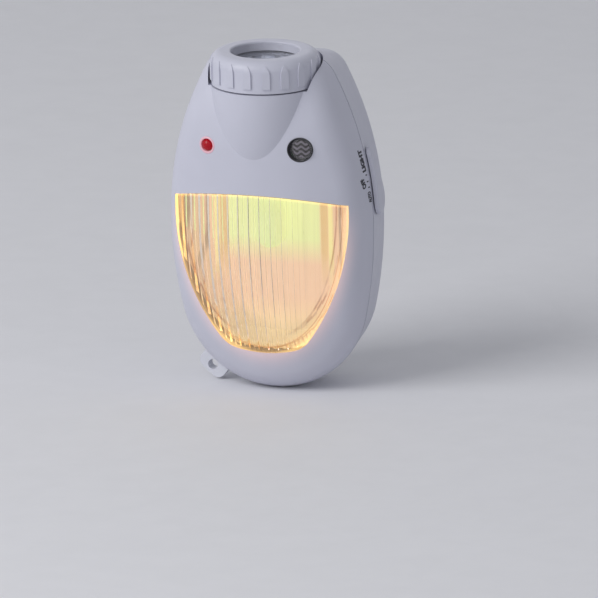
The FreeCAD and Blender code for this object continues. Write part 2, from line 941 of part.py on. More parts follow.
sensor_cell = turned_body(
    "light_sensor_cell",
    [
        (0, 0),
        (cell.sensor_radius - cell.sensor_cell_step, 0),
        (cell.sensor_radius - cell.sensor_cell_step, cell.sensor_cell_height),
        (0, cell.sensor_cell_height),
    ],
)
facing_forward(
    sensor_cell, cell.sensor_side, sensor_back + cell.sensor_cell_height, cell.sensor_height
)

# Torch head

window_top = cell.bezel_top - cell.bezel_lip - cell.play
window_low = window_top - cell.window_thickness
seal_low = window_low - cell.seal_height
barrel_top = seal_low - cell.play
ring_low = cell.bezel_seat + cell.bezel_gap
ring_bore = cell.barrel_radius + cell.thread_gap
shoulder_z = cell.bezel_top - cell.bezel_shoulder
shoulder_r = cell.bezel_radius - cell.bezel_shoulder


RIB_APEX = 0.6
RIB_ARCH = 1.6


def ring_body():
    """The bezel ring: a turned cap with a rounded shoulder and raised grip ribs whose tops come
    to a point where they run into the shoulder."""
    body = new_body("bezel_ring")
    section = new_sketch(body, "bezel_section", "XZ_Plane")
    lip_round = cell.bezel_lip_round
    add_loop(
        section,
        [
            (ring_bore, ring_low),
            (cell.bezel_radius, ring_low),
            (cell.bezel_radius, shoulder_z, cell.bezel_shoulder, 1),
            (shoulder_r, cell.bezel_top),
            (cell.bezel_opening + lip_round, cell.bezel_top, lip_round, 1),
            (cell.bezel_opening, cell.bezel_top - lip_round),
            (cell.bezel_opening, cell.bezel_top - cell.bezel_lip),
            (ring_bore, cell.bezel_top - cell.bezel_lip),
        ],
    )
    turn_feature(body, "Revolution", section)
    rib = new_sketch(body, "bezel_rib", "XZ_Plane", cell.bezel_radius - 1)
    half = cell.rib_width / 2
    low = ring_low + cell.bezel_band
    spring = shoulder_z - cell.bezel_band / 2
    apex = shoulder_z + cell.bezel_shoulder * RIB_APEX
    arch = (apex - spring) * RIB_ARCH
    add_loop(
        rib,
        [
            (-half, low),
            (half, low),
            (half, spring, arch, 1),
            (0, apex, arch, 1),
            (-half, spring),
        ],
    )
    pad = sweep_feature(body, "Pad", rib, cell.rib_height + 1)
    pattern = body.newObject("PartDesign::PolarPattern", "bezel_ribs")
    pattern.Originals = [pad]
    axis = next(f for f in body.Origin.OriginFeatures if f.Role == "Z_Axis")
    pattern.Axis = (axis, [""])
    pattern.Angle = 360
    pattern.setExpression("Occurrences", cell.rib_count.text)
    body.Tip = pattern
    trim = new_sketch(body, "bezel_trim", "XZ_Plane")
    outer = cell.bezel_radius + cell.rib_height
    round_over = cell.bezel_shoulder + cell.rib_height
    add_loop(
        trim,
        [
            (outer, cell.bezel_top - round_over, round_over, 1),
            (shoulder_r, cell.bezel_top),
            (outer + 2, cell.bezel_top),
            (outer + 2, cell.bezel_top - round_over),
        ],
    )
    groove = turn_feature(body, "Groove", trim)
    body.Tip = groove
    return at_torch(body, 0)


bezel_ring = ring_body()
torch_place = (0, -cell.torch_depth, 0)
torch_window = turned_body(
    "torch_window",
    [
        (0, window_low),
        (ring_bore - cell.window_play, window_low),
        (ring_bore - cell.window_play, window_top),
        (0, window_top),
    ],
    torch_place,
)
window_seal = turned_body(
    "window_seal",
    [
        (cell.barrel_radius - cell.seal_width, seal_low),
        (cell.barrel_radius, seal_low),
        (cell.barrel_radius, window_low),
        (cell.barrel_radius - cell.seal_width, window_low),
    ],
    torch_place,
)
barrel_bore = cell.barrel_radius - cell.barrel_wall
flange_radius = cell.bowl_radius - cell.wall - cell.flange_play
torch_barrel = turned_body(
    "torch_barrel",
    [
        (barrel_bore, cell.barrel_bottom),
        (cell.barrel_radius, cell.barrel_bottom),
        (cell.barrel_radius, pocket_floor - cell.barrel_flange),
        (flange_radius, pocket_floor - cell.barrel_flange),
        (flange_radius, pocket_floor),
        (cell.barrel_radius, pocket_floor),
        (cell.barrel_radius, barrel_top),
        (barrel_bore, barrel_top),
    ],
    torch_place,
)
rim_top = barrel_top - cell.reflector_set
mouth = barrel_bore - cell.play - cell.reflector_wall
torch_reflector = turned_body(
    "torch_reflector",
    [
        (cell.reflector_neck, cell.reflector_bottom),
        (cell.reflector_neck + cell.reflector_wall, cell.reflector_bottom, cell.reflector_curve, 1),
        (mouth, rim_top - cell.reflector_rim),
        (barrel_bore, rim_top - cell.reflector_rim),
        (barrel_bore, rim_top),
        (mouth - cell.reflector_wall, rim_top, cell.reflector_curve - cell.reflector_wall, -1),
    ],
    torch_place,
)
globe = cell.bulb_radius
globe_z = cell.bulb_top - globe
neck = cell.bulb_neck_radius
neck_z = globe_z - root(globe * globe - neck * neck)
cap_top = cell.reflector_bottom + cell.bulb_cap_proud
torch_bulb = turned_body(
    "torch_bulb",
    [
        (0, cap_top),
        (neck, cap_top),
        (neck, neck_z, globe, 1),
        (0, cell.bulb_top),
    ],
    torch_place,
)
holder_bore = cell.bulb_cap_radius + cell.play
cap_low = cap_top - cell.bulb_cap_length
cap_body = cell.bulb_cap_radius - cell.bulb_cap_step
bulb_cap = turned_body(
    "torch_bulb_cap",
    [
        (0, cap_low - cell.bulb_tip),
        (cell.bulb_tip_radius, cap_low - cell.bulb_tip),
        (cell.bulb_tip_radius, cap_low),
        (cap_body, cap_low),
        (cap_body, cap_top - cell.bulb_cap_collar),
        (cell.bulb_cap_radius, cap_top - cell.bulb_cap_collar),
        (cell.bulb_cap_radius, cap_top),
        (0, cap_top),
    ],
    torch_place,
)
bulb_holder = turned_body(
    "bulb_holder",
    [
        (0, cell.holder_bottom),
        (cell.holder_radius, cell.holder_bottom),
        (cell.holder_radius, cell.reflector_bottom),
        (holder_bore, cell.reflector_bottom),
        (holder_bore, cell.holder_bottom + cell.holder_floor),
        (0, cell.holder_bottom + cell.holder_floor),
    ],
    torch_place,
)

# Fold-away plug: two blades in a drum on a cross pin, in a recess of the case's back

recess_floor = cell.pin_depth + cell.drum_radius + cell.recess_clearance
recess_low = -(cell.drum_radius + cell.recess_clearance)
pin_half = cell.recess_half_width + cell.recess_wall


def pair(name, maker):
    """The same piece at each blade, left and right, as one object."""
    made = doc.addObject("Part::Compound", name)
    made.Links = [maker("left", -cell.blade_pitch / 2), maker("right", cell.blade_pitch / 2)]
    return made


def blade(side, x):
    body = new_body(f"blade_{side}")
    sketch = new_sketch(body, f"blade_{side}_outline", "YZ_Plane")
    half = cell.blade_width / 2
    neck_half = cell.blade_neck / 2
    tail = -cell.pin_depth - cell.blade_tail
    length = cell.blade_length
    add_loop(
        sketch,
        [
            (tail, -neck_half),
            (0, -neck_half),
            (0, -half),
            (length - cell.blade_tip, -half),
            (length, -half + cell.blade_tip),
            (length, half - cell.blade_tip),
            (length - cell.blade_tip, half),
            (0, half),
            (0, neck_half),
            (tail, neck_half),
        ],
    )
    add_circle(sketch, -cell.pin_depth, 0, cell.pin_radius + cell.blade_pin_play)
    add_circle(sketch, cell.blade_hole_reach, 0, cell.blade_hole)
    sweep_feature(body, "Pad", sketch, cell.blade_thickness, centred=True)
    return put(body, x)


def blade_slot(side, x):
    half = cell.blade_thickness / 2
    neck_half = cell.blade_neck / 2
    reach = cell.drum_radius * 2
    return box(
        f"drum_slot_{side}",
        (x - half, -(cell.pin_depth + reach), -neck_half),
        (x + half, reach - cell.pin_depth, neck_half),
    )


plug_blades = pair("plug_blades", blade)
drum_start = (-cell.drum_half_length, -cell.pin_depth, 0)
drum_solid = cylinder("drum_solid", cell.drum_radius, cell.drum_half_length * 2, drum_start, "x")
drum_bore = cylinder(
    "drum_bore", cell.pin_radius + cell.pin_play, cell.drum_half_length * 2, drum_start, "x"
)
plug_drum = cut("plug_drum", drum_solid, [drum_bore, pair("drum_slots", blade_slot)])
plug_pin = cylinder("plug_pin", cell.pin_radius, pin_half * 2, (-pin_half, -cell.pin_depth, 0), "x")
pin_hole = cylinder("pin_hole", cell.pin_radius, pin_half * 2, (-pin_half, -cell.pin_depth, 0), "x")
recess = box(
    "recess",
    (-cell.recess_half_width, -recess_floor, recess_low),
    (cell.recess_half_width, 1, cell.recess_top),
)
recess_block = box(
    "recess_block",
    (-pin_half, -(recess_floor + cell.recess_wall), recess_low - cell.recess_wall),
    (pin_half, 0, cell.recess_top + cell.recess_wall),
)
spring_face = recess_floor + cell.recess_wall + cell.spring_play
spring_half = cell.spring_width / 2
finger_half = cell.finger_width / 2
finger_tall = cell.finger_height / 2


def spring(side, x):
    strip = box(
        f"spring_strip_{side}",
        (x - spring_half, -(spring_face + cell.spring_thickness), -cell.finger_height),
        (x + spring_half, -spring_face, cell.board_bottom),
    )
    finger = box(
        f"spring_finger_{side}",
        (x - finger_half, -spring_face, -finger_tall),
        (x + finger_half, -(recess_floor - cell.finger_proud), finger_tall),
    )
    return join(f"spring_{side}", [strip, finger])


def finger_slot(side, x):
    half = finger_half + cell.finger_play
    tall = finger_tall + cell.finger_play
    return box(
        f"finger_slot_{side}",
        (x - half, -(spring_face + 1), -tall),
        (x + half, -(recess_floor - cell.finger_slot_reach), tall),
    )


contact_springs = pair("contact_springs", spring)

# Circuit board, its parts and the rechargeable cells

circuit_board = box(
    "circuit_board",
    (-cell.board_half_width, -(cell.board_depth + cell.board_thickness), cell.board_bottom),
    (cell.board_half_width, -cell.board_depth, cell.board_top),
)
film_far = cell.board_half_width - cell.film_side
film_low = cell.board_bottom + cell.film_rise
film_capacitor = box(
    "film_capacitor",
    (-film_far, -cell.board_depth, film_low),
    (cell.film_width - film_far, cell.film_depth - cell.board_depth, film_low + cell.film_height),
)
filter_capacitor = cylinder(
    "filter_capacitor",
    cell.can_radius,
    cell.can_length,
    (cell.can_side, cell.can_radius - cell.board_depth, cell.board_bottom + cell.can_rise),
    "x",
)


def battery_cell(name, z):
    """A rechargeable cell lying on its side, with its raised end to the right."""
    shoulder = cell.cell_length - cell.cell_cap_height
    body = turned_body(
        name,
        [
            (0, 0),
            (cell.cell_radius - cell.cell_edge, 0),
            (cell.cell_radius, cell.cell_edge),
            (cell.cell_radius, shoulder - cell.cell_edge),
            (cell.cell_radius - cell.cell_edge, shoulder),
            (cell.cell_cap_radius, shoulder),
            (cell.cell_cap_radius, cell.cell_length),
            (0, cell.cell_length),
        ],
    )
    body.Placement = FreeCAD.Placement(
        FreeCAD.Vector(), FreeCAD.Rotation(FreeCAD.Vector(0, 1, 0), 90)
    )
    return put(body, -cell.cell_length / 2, -cell.cell_depth, z)


upper_cell = cell.cell_height + cell.cell_radius * 2 + cell.cell_gap
battery_cells = doc.addObject("Part::Compound", "battery_cells")
battery_cells.Links = [battery_cell("cell_low", cell.cell_height), battery_cell("cell_high", upper_cell)]


def battery_strap(name, x, low, high):
    """A thin welded strap on the cells' ends."""
    return box(
        name,
        (x, -cell.cell_depth - cell.strap_half, low - cell.strap_half),
        (x + cell.strap_thickness, cell.strap_half - cell.cell_depth, high + cell.strap_half),
    )


cells_left = -cell.cell_length / 2 - cell.strap_thickness
cells_right = cell.cell_length / 2
battery_straps = doc.addObject("Part::Compound", "battery_straps")
battery_straps.Links = [
    battery_strap("strap_left", cells_left, cell.cell_height, upper_cell),
    battery_strap("tab_low", cells_right, cell.cell_height, cell.cell_height),
    battery_strap("tab_high", cells_right, upper_cell, upper_cell),
]

# Slide switch on the right side, in a frame that lies on the case's side: x towards the wall,
# y up along the side and z outward

side_rise = cell.knob_height - cell.case_side_start
side_run = root(cell.case_side_radius * cell.case_side_radius - side_rise * side_rise)
side_lean = math.asin(side_rise.value / cell.case_side_radius.value)
draft = math.radians(cell.back_draft.value)
knob_x = (
    cell.case_half_width.value
    - cell.case_side_radius.value
    + side_run.value
    - math.tan(draft) * (cell.parting_depth.value - cell.knob_depth.value)
)
slide_axis = FreeCAD.Vector(-math.sin(side_lean), 0, math.cos(side_lean))
side_normal = FreeCAD.Vector(
    math.cos(side_lean) * math.cos(draft), math.sin(draft), math.sin(side_lean) * math.cos(draft)
)
knob_frame = FreeCAD.Placement(
    FreeCAD.Vector(knob_x, -cell.knob_depth.value, cell.knob_height.value),
    FreeCAD.Rotation(slide_axis.cross(side_normal), slide_axis, side_normal, "ZXY"),
)


def side_box(name, low, high):
    """A box in the frame of the slide switch."""
    made = box(name, (0, 0, 0), [Size.of(b) - a for a, b in zip(low, high)])
    for axis in "xyz":
        made.setExpression(f"Placement.Base.{axis}", None)
    corner = FreeCAD.Vector(*[Size.of(a).value for a in low])
    made.Placement = knob_frame.multiply(FreeCAD.Placement(corner, FreeCAD.Rotation()))
    return made


def knob_blank():
    """The teardrop knob's outline, raised to its full height."""
    body = new_body("knob_blank")
    sketch = new_sketch(body, "knob_outline", "XY_Plane")
    big, tip = cell.knob_big_radius, cell.knob_tip_radius
    low = -cell.knob_low
    high = cell.knob_high
    tip_x = tip - big
    span_x, span_y = tip_x, high - low
    span = root(span_x * span_x + span_y * span_y)
    lean = (big - tip) / span
    nx = lean * span_x / span * 2 + 1
    ny = lean * span_y / span * 2
    add_loop(
        sketch,
        [
            (-big, low, big, 1),
            (0, low - big, big, 1),
            (nx * big, low + ny * big),
            (tip_x + nx * tip, high + ny * tip, tip, 1),
            (-big, high),
        ],
    )
    sweep_feature(body, "Pad", sketch, cell.knob_gap + cell.knob_thickness + 2, centred=True)
    return body


KNOB_REACH = 40.0
KNOB_ROUND = 0.7


def knob_curve(name, lift):
    """A cylinder that follows the case's side, lifted off it."""
    made = cylinder(name, cell.case_side_radius + lift, KNOB_REACH, (0, 0, 0), "x")
    return put(made, -KNOB_REACH / 2, 0, -cell.case_side_radius)


blank = knob_blank()
blank_height = (cell.knob_gap + cell.knob_thickness + 2) / 2
put(blank, 0, 0, blank_height - 1)
knob_outside = knob_curve("knob_outside", cell.knob_gap + cell.knob_thickness)
knob_inside = knob_curve("knob_inside", cell.knob_gap)
knob_plate = cut(
    "knob_plate", common("knob_curved", [blank, knob_outside]), [knob_inside]
)
doc.recompute()


def on_knob_face(edge):
    """Does the edge lie on the knob's outer face?"""
    reach = cell.case_side_radius.value + cell.knob_gap.value + cell.knob_thickness.value
    first, last = edge.ParameterRange
    for share in (0.0, 0.5, 1.0):
        point = edge.valueAt(first + (last - first) * share)
        if abs(math.hypot(point.y, point.z + cell.case_side_radius.value) - reach) > 0.001:
            return False
    return True


knob_round = doc.addObject("Part::Fillet", "knob_round")
knob_round.Base = knob_plate
knob_round.Edges = [
    (number, KNOB_ROUND, KNOB_ROUND)
    for number, edge in enumerate(knob_plate.Shape.Edges, start=1)
    if on_knob_face(edge)
]
stem_half = cell.stem_width / 2
stem_tall = cell.stem_height / 2
stem = box(
    "knob_stem",
    (-cell.stem_side - stem_half, cell.stem_rise - stem_tall, -(cell.wall + cell.stem_reach)),
    (-cell.stem_side + stem_half, cell.stem_rise + stem_tall, cell.knob_gap + cell.stem_root),
)
switch_knob = join("switch_knob", [knob_round, stem])
switch_knob.Placement = knob_frame
slot_half = stem_half + cell.stem_play
slot_tall = stem_tall + cell.knob_travel + cell.stem_play


def stem_slot(name, low, high):
    """The space that the stem sweeps, between two heights over the case's side."""
    return side_box(
        name,
        (-cell.stem_side - slot_half, cell.stem_rise - slot_tall, low),
        (-cell.stem_side + slot_half, cell.stem_rise + slot_tall, high),
    )


knob_slot = stem_slot("knob_slot", -(cell.wall + cell.slot_depth), cell.wall)
switch_body = side_box(
    "switch_body",
    (
        -cell.stem_side - slot_half - cell.switch_edge,
        cell.stem_rise - slot_tall - cell.switch_shoulder,
        -(cell.wall + cell.switch_back),
    ),
    (
        cell.switch_side,
        cell.stem_rise + slot_tall + cell.switch_shoulder,
        -(cell.wall + cell.switch_front),
    ),
)
switch_groove = stem_slot("switch_groove", -(cell.wall + cell.switch_groove_depth), Size.of(0))
slide_switch = cut("slide_switch", switch_body, [switch_groove])

# Strap lug, held in a slot low on the left

lug_turn = math.radians(cell.lug_angle.value)
lug_out = FreeCAD.Vector(-math.sin(lug_turn), 0, -math.cos(lug_turn))
lug_frame = FreeCAD.Placement(
    FreeCAD.Vector(0, -cell.lug_depth.value, chin_z.value),
    FreeCAD.Rotation(FreeCAD.Vector(), lug_out, FreeCAD.Vector(0, 1, 0), "ZYX"),
)


lug_root = chin_radius - cell.lug_set
lug_step = lug_root + cell.lug_flange_height
lug_reach = chin_radius + cell.lug_proud


def lug_body():
    body = new_body("strap_lug")
    sketch = new_sketch(body, "lug_outline", "XY_Plane")
    half = cell.lug_width / 2
    flange = half + cell.lug_flange
    corner = cell.lug_corner
    add_loop(
        sketch,
        [
            (-flange, lug_root),
            (flange, lug_root),
            (flange, lug_step),
            (half, lug_step),
            (half, lug_reach - corner, corner, 1),
            (half - corner, lug_reach),
            (-half + corner, lug_reach, corner, 1),
            (-half, lug_reach - corner),
            (-half, lug_step),
            (-flange, lug_step),
        ],
    )
    add_circle(sketch, 0, chin_radius + cell.lug_hole_proud, cell.lug_hole_radius)
    sweep_feature(body, "Pad", sketch, cell.lug_thickness, centred=True)
    body.Placement = lug_frame
    return body


strap_lug = lug_body()
lug_slot = box(
    "lug_slot",
    (0, 0, 0),
    (
        cell.lug_width + cell.lug_play * 2,
        lug_reach - lug_step - cell.play,
        cell.lug_thickness + cell.lug_play * 2,
    ),
)
for axis in "xyz":
    lug_slot.setExpression(f"Placement.Base.{axis}", None)
lug_slot.Placement = lug_frame.multiply(
    FreeCAD.Placement(
        FreeCAD.Vector(
            -cell.lug_width.value / 2 - cell.lug_play.value,
            lug_step.value + cell.play.value,
            -cell.lug_thickness.value / 2 - cell.lug_play.value,
        ),
        FreeCAD.Rotation(),
    )
)

# Rear shell


rear_posts = screw_cylinders("rear_boss", cell.boss_radius, 0, cell.parting_depth)
back_cavity = cut(
    "back_cavity", back_inner, [pocket_liner("back_liner"), recess_block] + rear_posts
)
lip_outer = cell.wall + cell.lip_gap
lip_inner = lip_outer + cell.lip_wall
lip_front = cell.parting_depth + cell.lip_height
lip_tongue = outline_slice("lip_tongue", lip_outer, lip_front, cell.lip_height)
lip_shelf = outline_slice("lip_shelf", cell.wall - cell.lip_bite, cell.parting_depth, cell.lip_root)
lip_depth = cell.lip_height + cell.lip_root + 2
lip_hollow = outline_slice("lip_hollow", lip_inner, lip_front + 1, lip_depth)
lip_seat = common("lip_seat", [lip_shelf, back_outer])
lip_room = front_form("lip_room", lip_outer)
lip_tongue_kept = common("lip_tongue_kept", [lip_tongue, lip_room])
lip_window = lens_prism("lip_window", -(cell.flange_width + cell.lip_gap))
lip_ring = cut(
    "lip_ring",
    join("lip_solid", [lip_tongue_kept, lip_seat]),
    [lip_hollow, pocket_liner("lip_liner"), lip_window]
    + screw_cylinders("lip_clear", cell.boss_radius, cell.parting_depth, cell.lip_height * 2),
)
screw_sink_radius = cell.screw_head_radius + cell.screw_play
rear_tools = (
    [back_cavity, recess, pin_hole, pair("finger_slots", finger_slot), knob_slot, lug_slot]
    + screw_cylinders("screw_clear", cell.screw_radius + cell.screw_play, 0, cell.parting_depth)
    + screw_cylinders("screw_sink", screw_sink_radius, 0, cell.screw_head_depth)
    + torch_clearances("back")
)
rear_skin = cut("rear_skin", back_outer, rear_tools)
rear_shell = join("rear_shell", [rear_skin, lip_ring])

# Case screws


def case_screw(number, x, z):
    body = turned_body(
        f"screw_{number}",
        [
            (0, 0),
            (cell.screw_head_radius - cell.screw_head_edge, 0),
            (cell.screw_head_radius, cell.screw_head_edge),
            (cell.screw_head_radius, cell.screw_head_height),
            (cell.screw_radius, cell.screw_head_height),
            (cell.screw_radius, cell.screw_length),
            (0, cell.screw_length + cell.screw_point),
        ],
    )
    return facing_forward(body, x, cell.screw_head_height - cell.screw_head_depth, z)


case_screws = doc.addObject("Part::Compound", "case_screws")
case_screws.Links = [case_screw(n, x, z) for n, (x, z) in enumerate(SCREW_PLACES)]

NODES = {
    "front_shell": front_shell,
    "rear_shell": rear_shell,
    "night_light_lens": lens,
    "lamp_reflector": lamp_reflector,
    "night_lamp": night_lamp,
    "lamp_socket": lamp_socket,
    "charge_lamp": charge_lamp,
    "light_sensor_window": sensor_window,
    "light_sensor_cell": sensor_cell,
    "bezel_ring": bezel_ring,
    "torch_window": torch_window,
    "window_seal": window_seal,
    "torch_barrel": torch_barrel,
    "torch_reflector": torch_reflector,
    "torch_bulb": torch_bulb,
    "torch_bulb_cap": bulb_cap,
    "bulb_holder": bulb_holder,
    "plug_blades": plug_blades,
    "plug_drum": plug_drum,
    "plug_pin": plug_pin,
    "contact_springs": contact_springs,
    "circuit_board": circuit_board,
    "film_capacitor": film_capacitor,
    "filter_capacitor": filter_capacitor,
    "battery_cells": battery_cells,
    "battery_straps": battery_straps,
    "switch_knob": switch_knob,
    "slide_switch": slide_switch,
    "strap_lug": strap_lug,
    "case_screws": case_screws,
}

doc.recompute()
failed = [o.Name for o in doc.Objects if "Invalid" in o.State or "Error" in o.State]
if failed:
    raise SystemExit(f"failed objects: {failed}")
os.makedirs("parts", exist_ok=True)
for node, item in NODES.items():
    item.Label = node
    shape = item.Shape
    if shape.isNull() or not shape.isValid() or not shape.Solids:
        raise SystemExit(f"{node} has no sound shape")
    print(f"{node:22s} {len(shape.Solids)} solid(s) {shape.Volume:10.1f} mm3")
for node, item in NODES.items():
    item.Shape.exportStep(f"parts/{node}.step")
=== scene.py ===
# %% [markdown]
# # A plug in night light, dressed for its picture
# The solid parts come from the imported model, which already has every part at its real size.
# This lesson gives each part its finish, adds the small things that a solid model leaves out,
# and sets up a camera, a floor and soft light. Lengths are in metres, and MM turns millimetres into them.

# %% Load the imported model
import math

import bmesh
import bpy
import numpy as np
from mathutils import Matrix, Vector
from mathutils.bvhtree import BVHTree


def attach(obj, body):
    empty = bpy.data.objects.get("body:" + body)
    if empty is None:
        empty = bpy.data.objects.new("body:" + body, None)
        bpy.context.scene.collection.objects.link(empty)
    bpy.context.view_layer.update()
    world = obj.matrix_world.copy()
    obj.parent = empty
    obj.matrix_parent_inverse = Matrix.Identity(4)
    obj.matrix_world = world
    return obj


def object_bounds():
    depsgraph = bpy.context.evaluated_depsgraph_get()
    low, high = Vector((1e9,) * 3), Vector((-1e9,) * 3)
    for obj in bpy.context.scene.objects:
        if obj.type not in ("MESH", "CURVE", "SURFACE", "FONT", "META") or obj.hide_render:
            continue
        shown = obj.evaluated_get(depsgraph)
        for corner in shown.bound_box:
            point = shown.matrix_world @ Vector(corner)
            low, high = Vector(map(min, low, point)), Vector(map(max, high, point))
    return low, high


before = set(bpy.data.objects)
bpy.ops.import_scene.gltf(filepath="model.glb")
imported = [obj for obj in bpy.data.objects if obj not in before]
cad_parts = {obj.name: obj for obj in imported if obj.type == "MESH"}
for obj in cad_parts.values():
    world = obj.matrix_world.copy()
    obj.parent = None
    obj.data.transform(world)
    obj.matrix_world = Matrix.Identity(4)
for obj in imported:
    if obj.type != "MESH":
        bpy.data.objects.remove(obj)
cad_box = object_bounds()
scene = bpy.context.scene
MM = 0.001
print("parts loaded:", len(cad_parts))

# %% [markdown]
# ## The camera
# The photograph looks at the light from the right and from a little above.
# A camera is placed by its three directions: right, up and back, which are the columns of its matrix.
# A very long lens from six metres keeps the sides parallel, as the photograph has them, and the camera
# leans a little more than one degree clockwise, so the light stands just off upright in the picture.

# %% Camera
AZIMUTH = math.radians(20)
ELEVATION = math.radians(15)
LEAN = math.radians(1.2)
DISTANCE = 6.0
FILM_WIDTH = 36  # in millimetres, as the focal length is
FOCAL_LENGTH = 1156
AIM_RIGHT = 0.53 * MM
AIM_UP = -4.78 * MM

right = Vector((math.cos(AZIMUTH), math.sin(AZIMUTH), 0))
back = Vector((
    math.sin(AZIMUTH) * math.cos(ELEVATION),
    -math.cos(AZIMUTH) * math.cos(ELEVATION),
    math.sin(ELEVATION),
))
up = back.cross(right)
camera_data = bpy.data.cameras.new("camera")
camera_data.sensor_width = FILM_WIDTH
camera_data.lens = FOCAL_LENGTH
camera = bpy.data.objects.new("camera", camera_data)
place = right * AIM_RIGHT + up * AIM_UP + back * DISTANCE
turn = Matrix((right, up, back)).transposed() @ Matrix.Rotation(-LEAN, 3, "Z")
camera.matrix_world = Matrix.Translation(place) @ turn.to_4x4()
scene.collection.objects.link(camera)
scene.camera = camera
scene.view_settings.view_transform = "Standard"
print("camera stands at", [round(c, 3) for c in camera.matrix_world.translation])

# %% [markdown]
# ## Small helpers for node trees
# A finish is a tree of nodes. Each helper adds a node or two and joins them to the ones before, so that
# a pattern further down reads as a short sum of its parts. Places are measured on the object itself.

# %% Node helpers
def node_tree(owner):
    """Empties the node tree of a material or a world, and returns it with a new output node."""
    owner.use_nodes = True
    tree = owner.node_tree
    tree.nodes.clear()
    kind = "ShaderNodeOutputWorld" if isinstance(owner, bpy.types.World) else "ShaderNodeOutputMaterial"
    return tree, tree.nodes.new(kind)


def feed(tree, value, socket):
    """Gives a node's input a number, a colour of three numbers or another node's output."""
    if isinstance(value, bpy.types.NodeSocket):
        tree.links.new(value, socket)
    elif isinstance(value, tuple):
        socket.default_value = (*value, 1)
    else:
        socket.default_value = value


def calculate(tree, operation, first, second=0.0):
    """One Math node; each input is a number or a socket."""
    node = tree.nodes.new("ShaderNodeMath")
    node.operation = operation
    feed(tree, first, node.inputs[0])
    feed(tree, second, node.inputs[1])
    return node.outputs[0]


def product(tree, first, *others):
    """All the factors multiplied together."""
    for factor in others:
        first = calculate(tree, "MULTIPLY", first, factor)
    return first


def off_centre(tree, value, middle):
    """How far value is from middle, on either side."""
    return calculate(tree, "ABSOLUTE", calculate(tree, "SUBTRACT", value, middle))


def wave(tree, value, pitch, shift=0.0):
    """A wave between -1 and 1 that repeats every pitch of value, moved along by shift radians."""
    angle = calculate(tree, "MULTIPLY", value, 2 * math.pi / pitch)
    return calculate(tree, "SINE", calculate(tree, "ADD", angle, shift))


def remap(tree, value, low, high, start=0.3, end=0.7):
    """Carries value from start..end to low..high; noise lies mostly between 0.3 and 0.7."""
    node = tree.nodes.new("ShaderNodeMapRange")
    node.inputs["From Min"].default_value = start
    node.inputs["From Max"].default_value = end
    node.inputs["To Min"].default_value = low
    node.inputs["To Max"].default_value = high
    tree.links.new(value, node.inputs["Value"])
    return node.outputs["Result"]


def rise(tree, value, start, end):
    """0 where value is under start and 1 where it is over end."""
    return remap(tree, value, 0, 1, start, end)


def fall(tree, value, start, end):
    """1 where value is under start and 0 where it is over end."""
    return remap(tree, value, 1, 0, start, end)


def blend_colours(tree, factor, first, second):
    """first where factor is 0 and second where it is 1; each is a colour or a socket."""
    node = tree.nodes.new("ShaderNodeMix")
    node.data_type = "RGBA"
    feed(tree, factor, node.inputs["Factor"])
    feed(tree, first, node.inputs["A"])
    feed(tree, second, node.inputs["B"])
    return node.outputs["Result"]


def separate(tree):
    """The three Object coordinates as sockets."""
    place = tree.nodes.new("ShaderNodeTexCoord")
    parts = tree.nodes.new("ShaderNodeSeparateXYZ")
    tree.links.new(place.outputs["Object"], parts.inputs[0])
    return parts.outputs["X"], parts.outputs["Y"], parts.outputs["Z"]


print("node helpers ready")

# %% [markdown]
# ## The floor and the light
# A soft studio light is a large lamp near the object: the larger it looks from the object, the softer
# its shadow. The key lamp stands to the left and above, a weaker one fills from the right, and the sky
# adds an even light. The floor is a plain pale grey, and it still takes the object's shadow.

# %% Floor, sky and lamps
BACKDROP_COLOUR = (0.80, 0.80, 0.84)
SKY_LIGHT = (0.93, 0.95, 1.0)
SKY_STRENGTH = 0.385
FLOOR_REACH = 4.0
LAMP_TARGET = (0, -0.02, 0.025)
# Each lamp's place, the side of its square face in metres, and its power in watts.
LAMPS = {
    "key_lamp": ((-0.75, -0.95, 0.85), 0.9, 11.8),
    "fill_lamp": ((1.3, -0.7, 0.5), 1.0, 0.8),
}
floor_height = cad_box[0][2]


def seen_directly(tree):
    """1 for a ray that comes from the camera, a reflection or clear plastic, and 0 for any other."""
    path = tree.nodes.new("ShaderNodeLightPath")
    mirrored = calculate(tree, "MAXIMUM", path.outputs["Is Camera Ray"], path.outputs["Is Glossy Ray"])
    return calculate(tree, "MAXIMUM", mirrored, path.outputs["Is Transmission Ray"])


def add_lamp(name, place, side, power):
    """A square lamp at place whose face looks at the target, side metres wide."""
    data = bpy.data.lights.new(name, "AREA")
    data.shape = "SQUARE"
    data.size = side
    data.energy = power
    lamp = bpy.data.objects.new(name, data)
    lamp.location = place
    lamp.rotation_euler = (Vector(LAMP_TARGET) - Vector(place)).to_track_quat("-Z", "Y").to_euler()
    scene.collection.objects.link(lamp)


world = bpy.data.worlds.new("studio")
scene.world = world
tree, output = node_tree(world)
either = tree.nodes.new("ShaderNodeMixShader")
tree.links.new(seen_directly(tree), either.inputs["Fac"])
for place, (colour, strength) in enumerate(((SKY_LIGHT, SKY_STRENGTH), (BACKDROP_COLOUR, 1.0))):
    sky = tree.nodes.new("ShaderNodeBackground")
    feed(tree, colour, sky.inputs["Color"])
    feed(tree, strength, sky.inputs["Strength"])
    tree.links.new(sky.outputs[0], either.inputs[1 + place])
tree.links.new(either.outputs[0], output.inputs["Surface"])

floor_mesh = bpy.data.meshes.new("floor")
corners = np.array([(-1, -1), (1, -1), (1, 1), (-1, 1)]) * FLOOR_REACH
floor_mesh.from_pydata([(x, y, floor_height) for x, y in corners.tolist()], [], [(0, 1, 2, 3)])
floor = bpy.data.objects.new("floor", floor_mesh)
scene.collection.objects.link(floor)
for name, (place, side, power) in LAMPS.items():
    add_lamp(name, place, side, power)
print("floor at height", round(floor_height / MM, 1), "mm, with", len(LAMPS), "lamps")

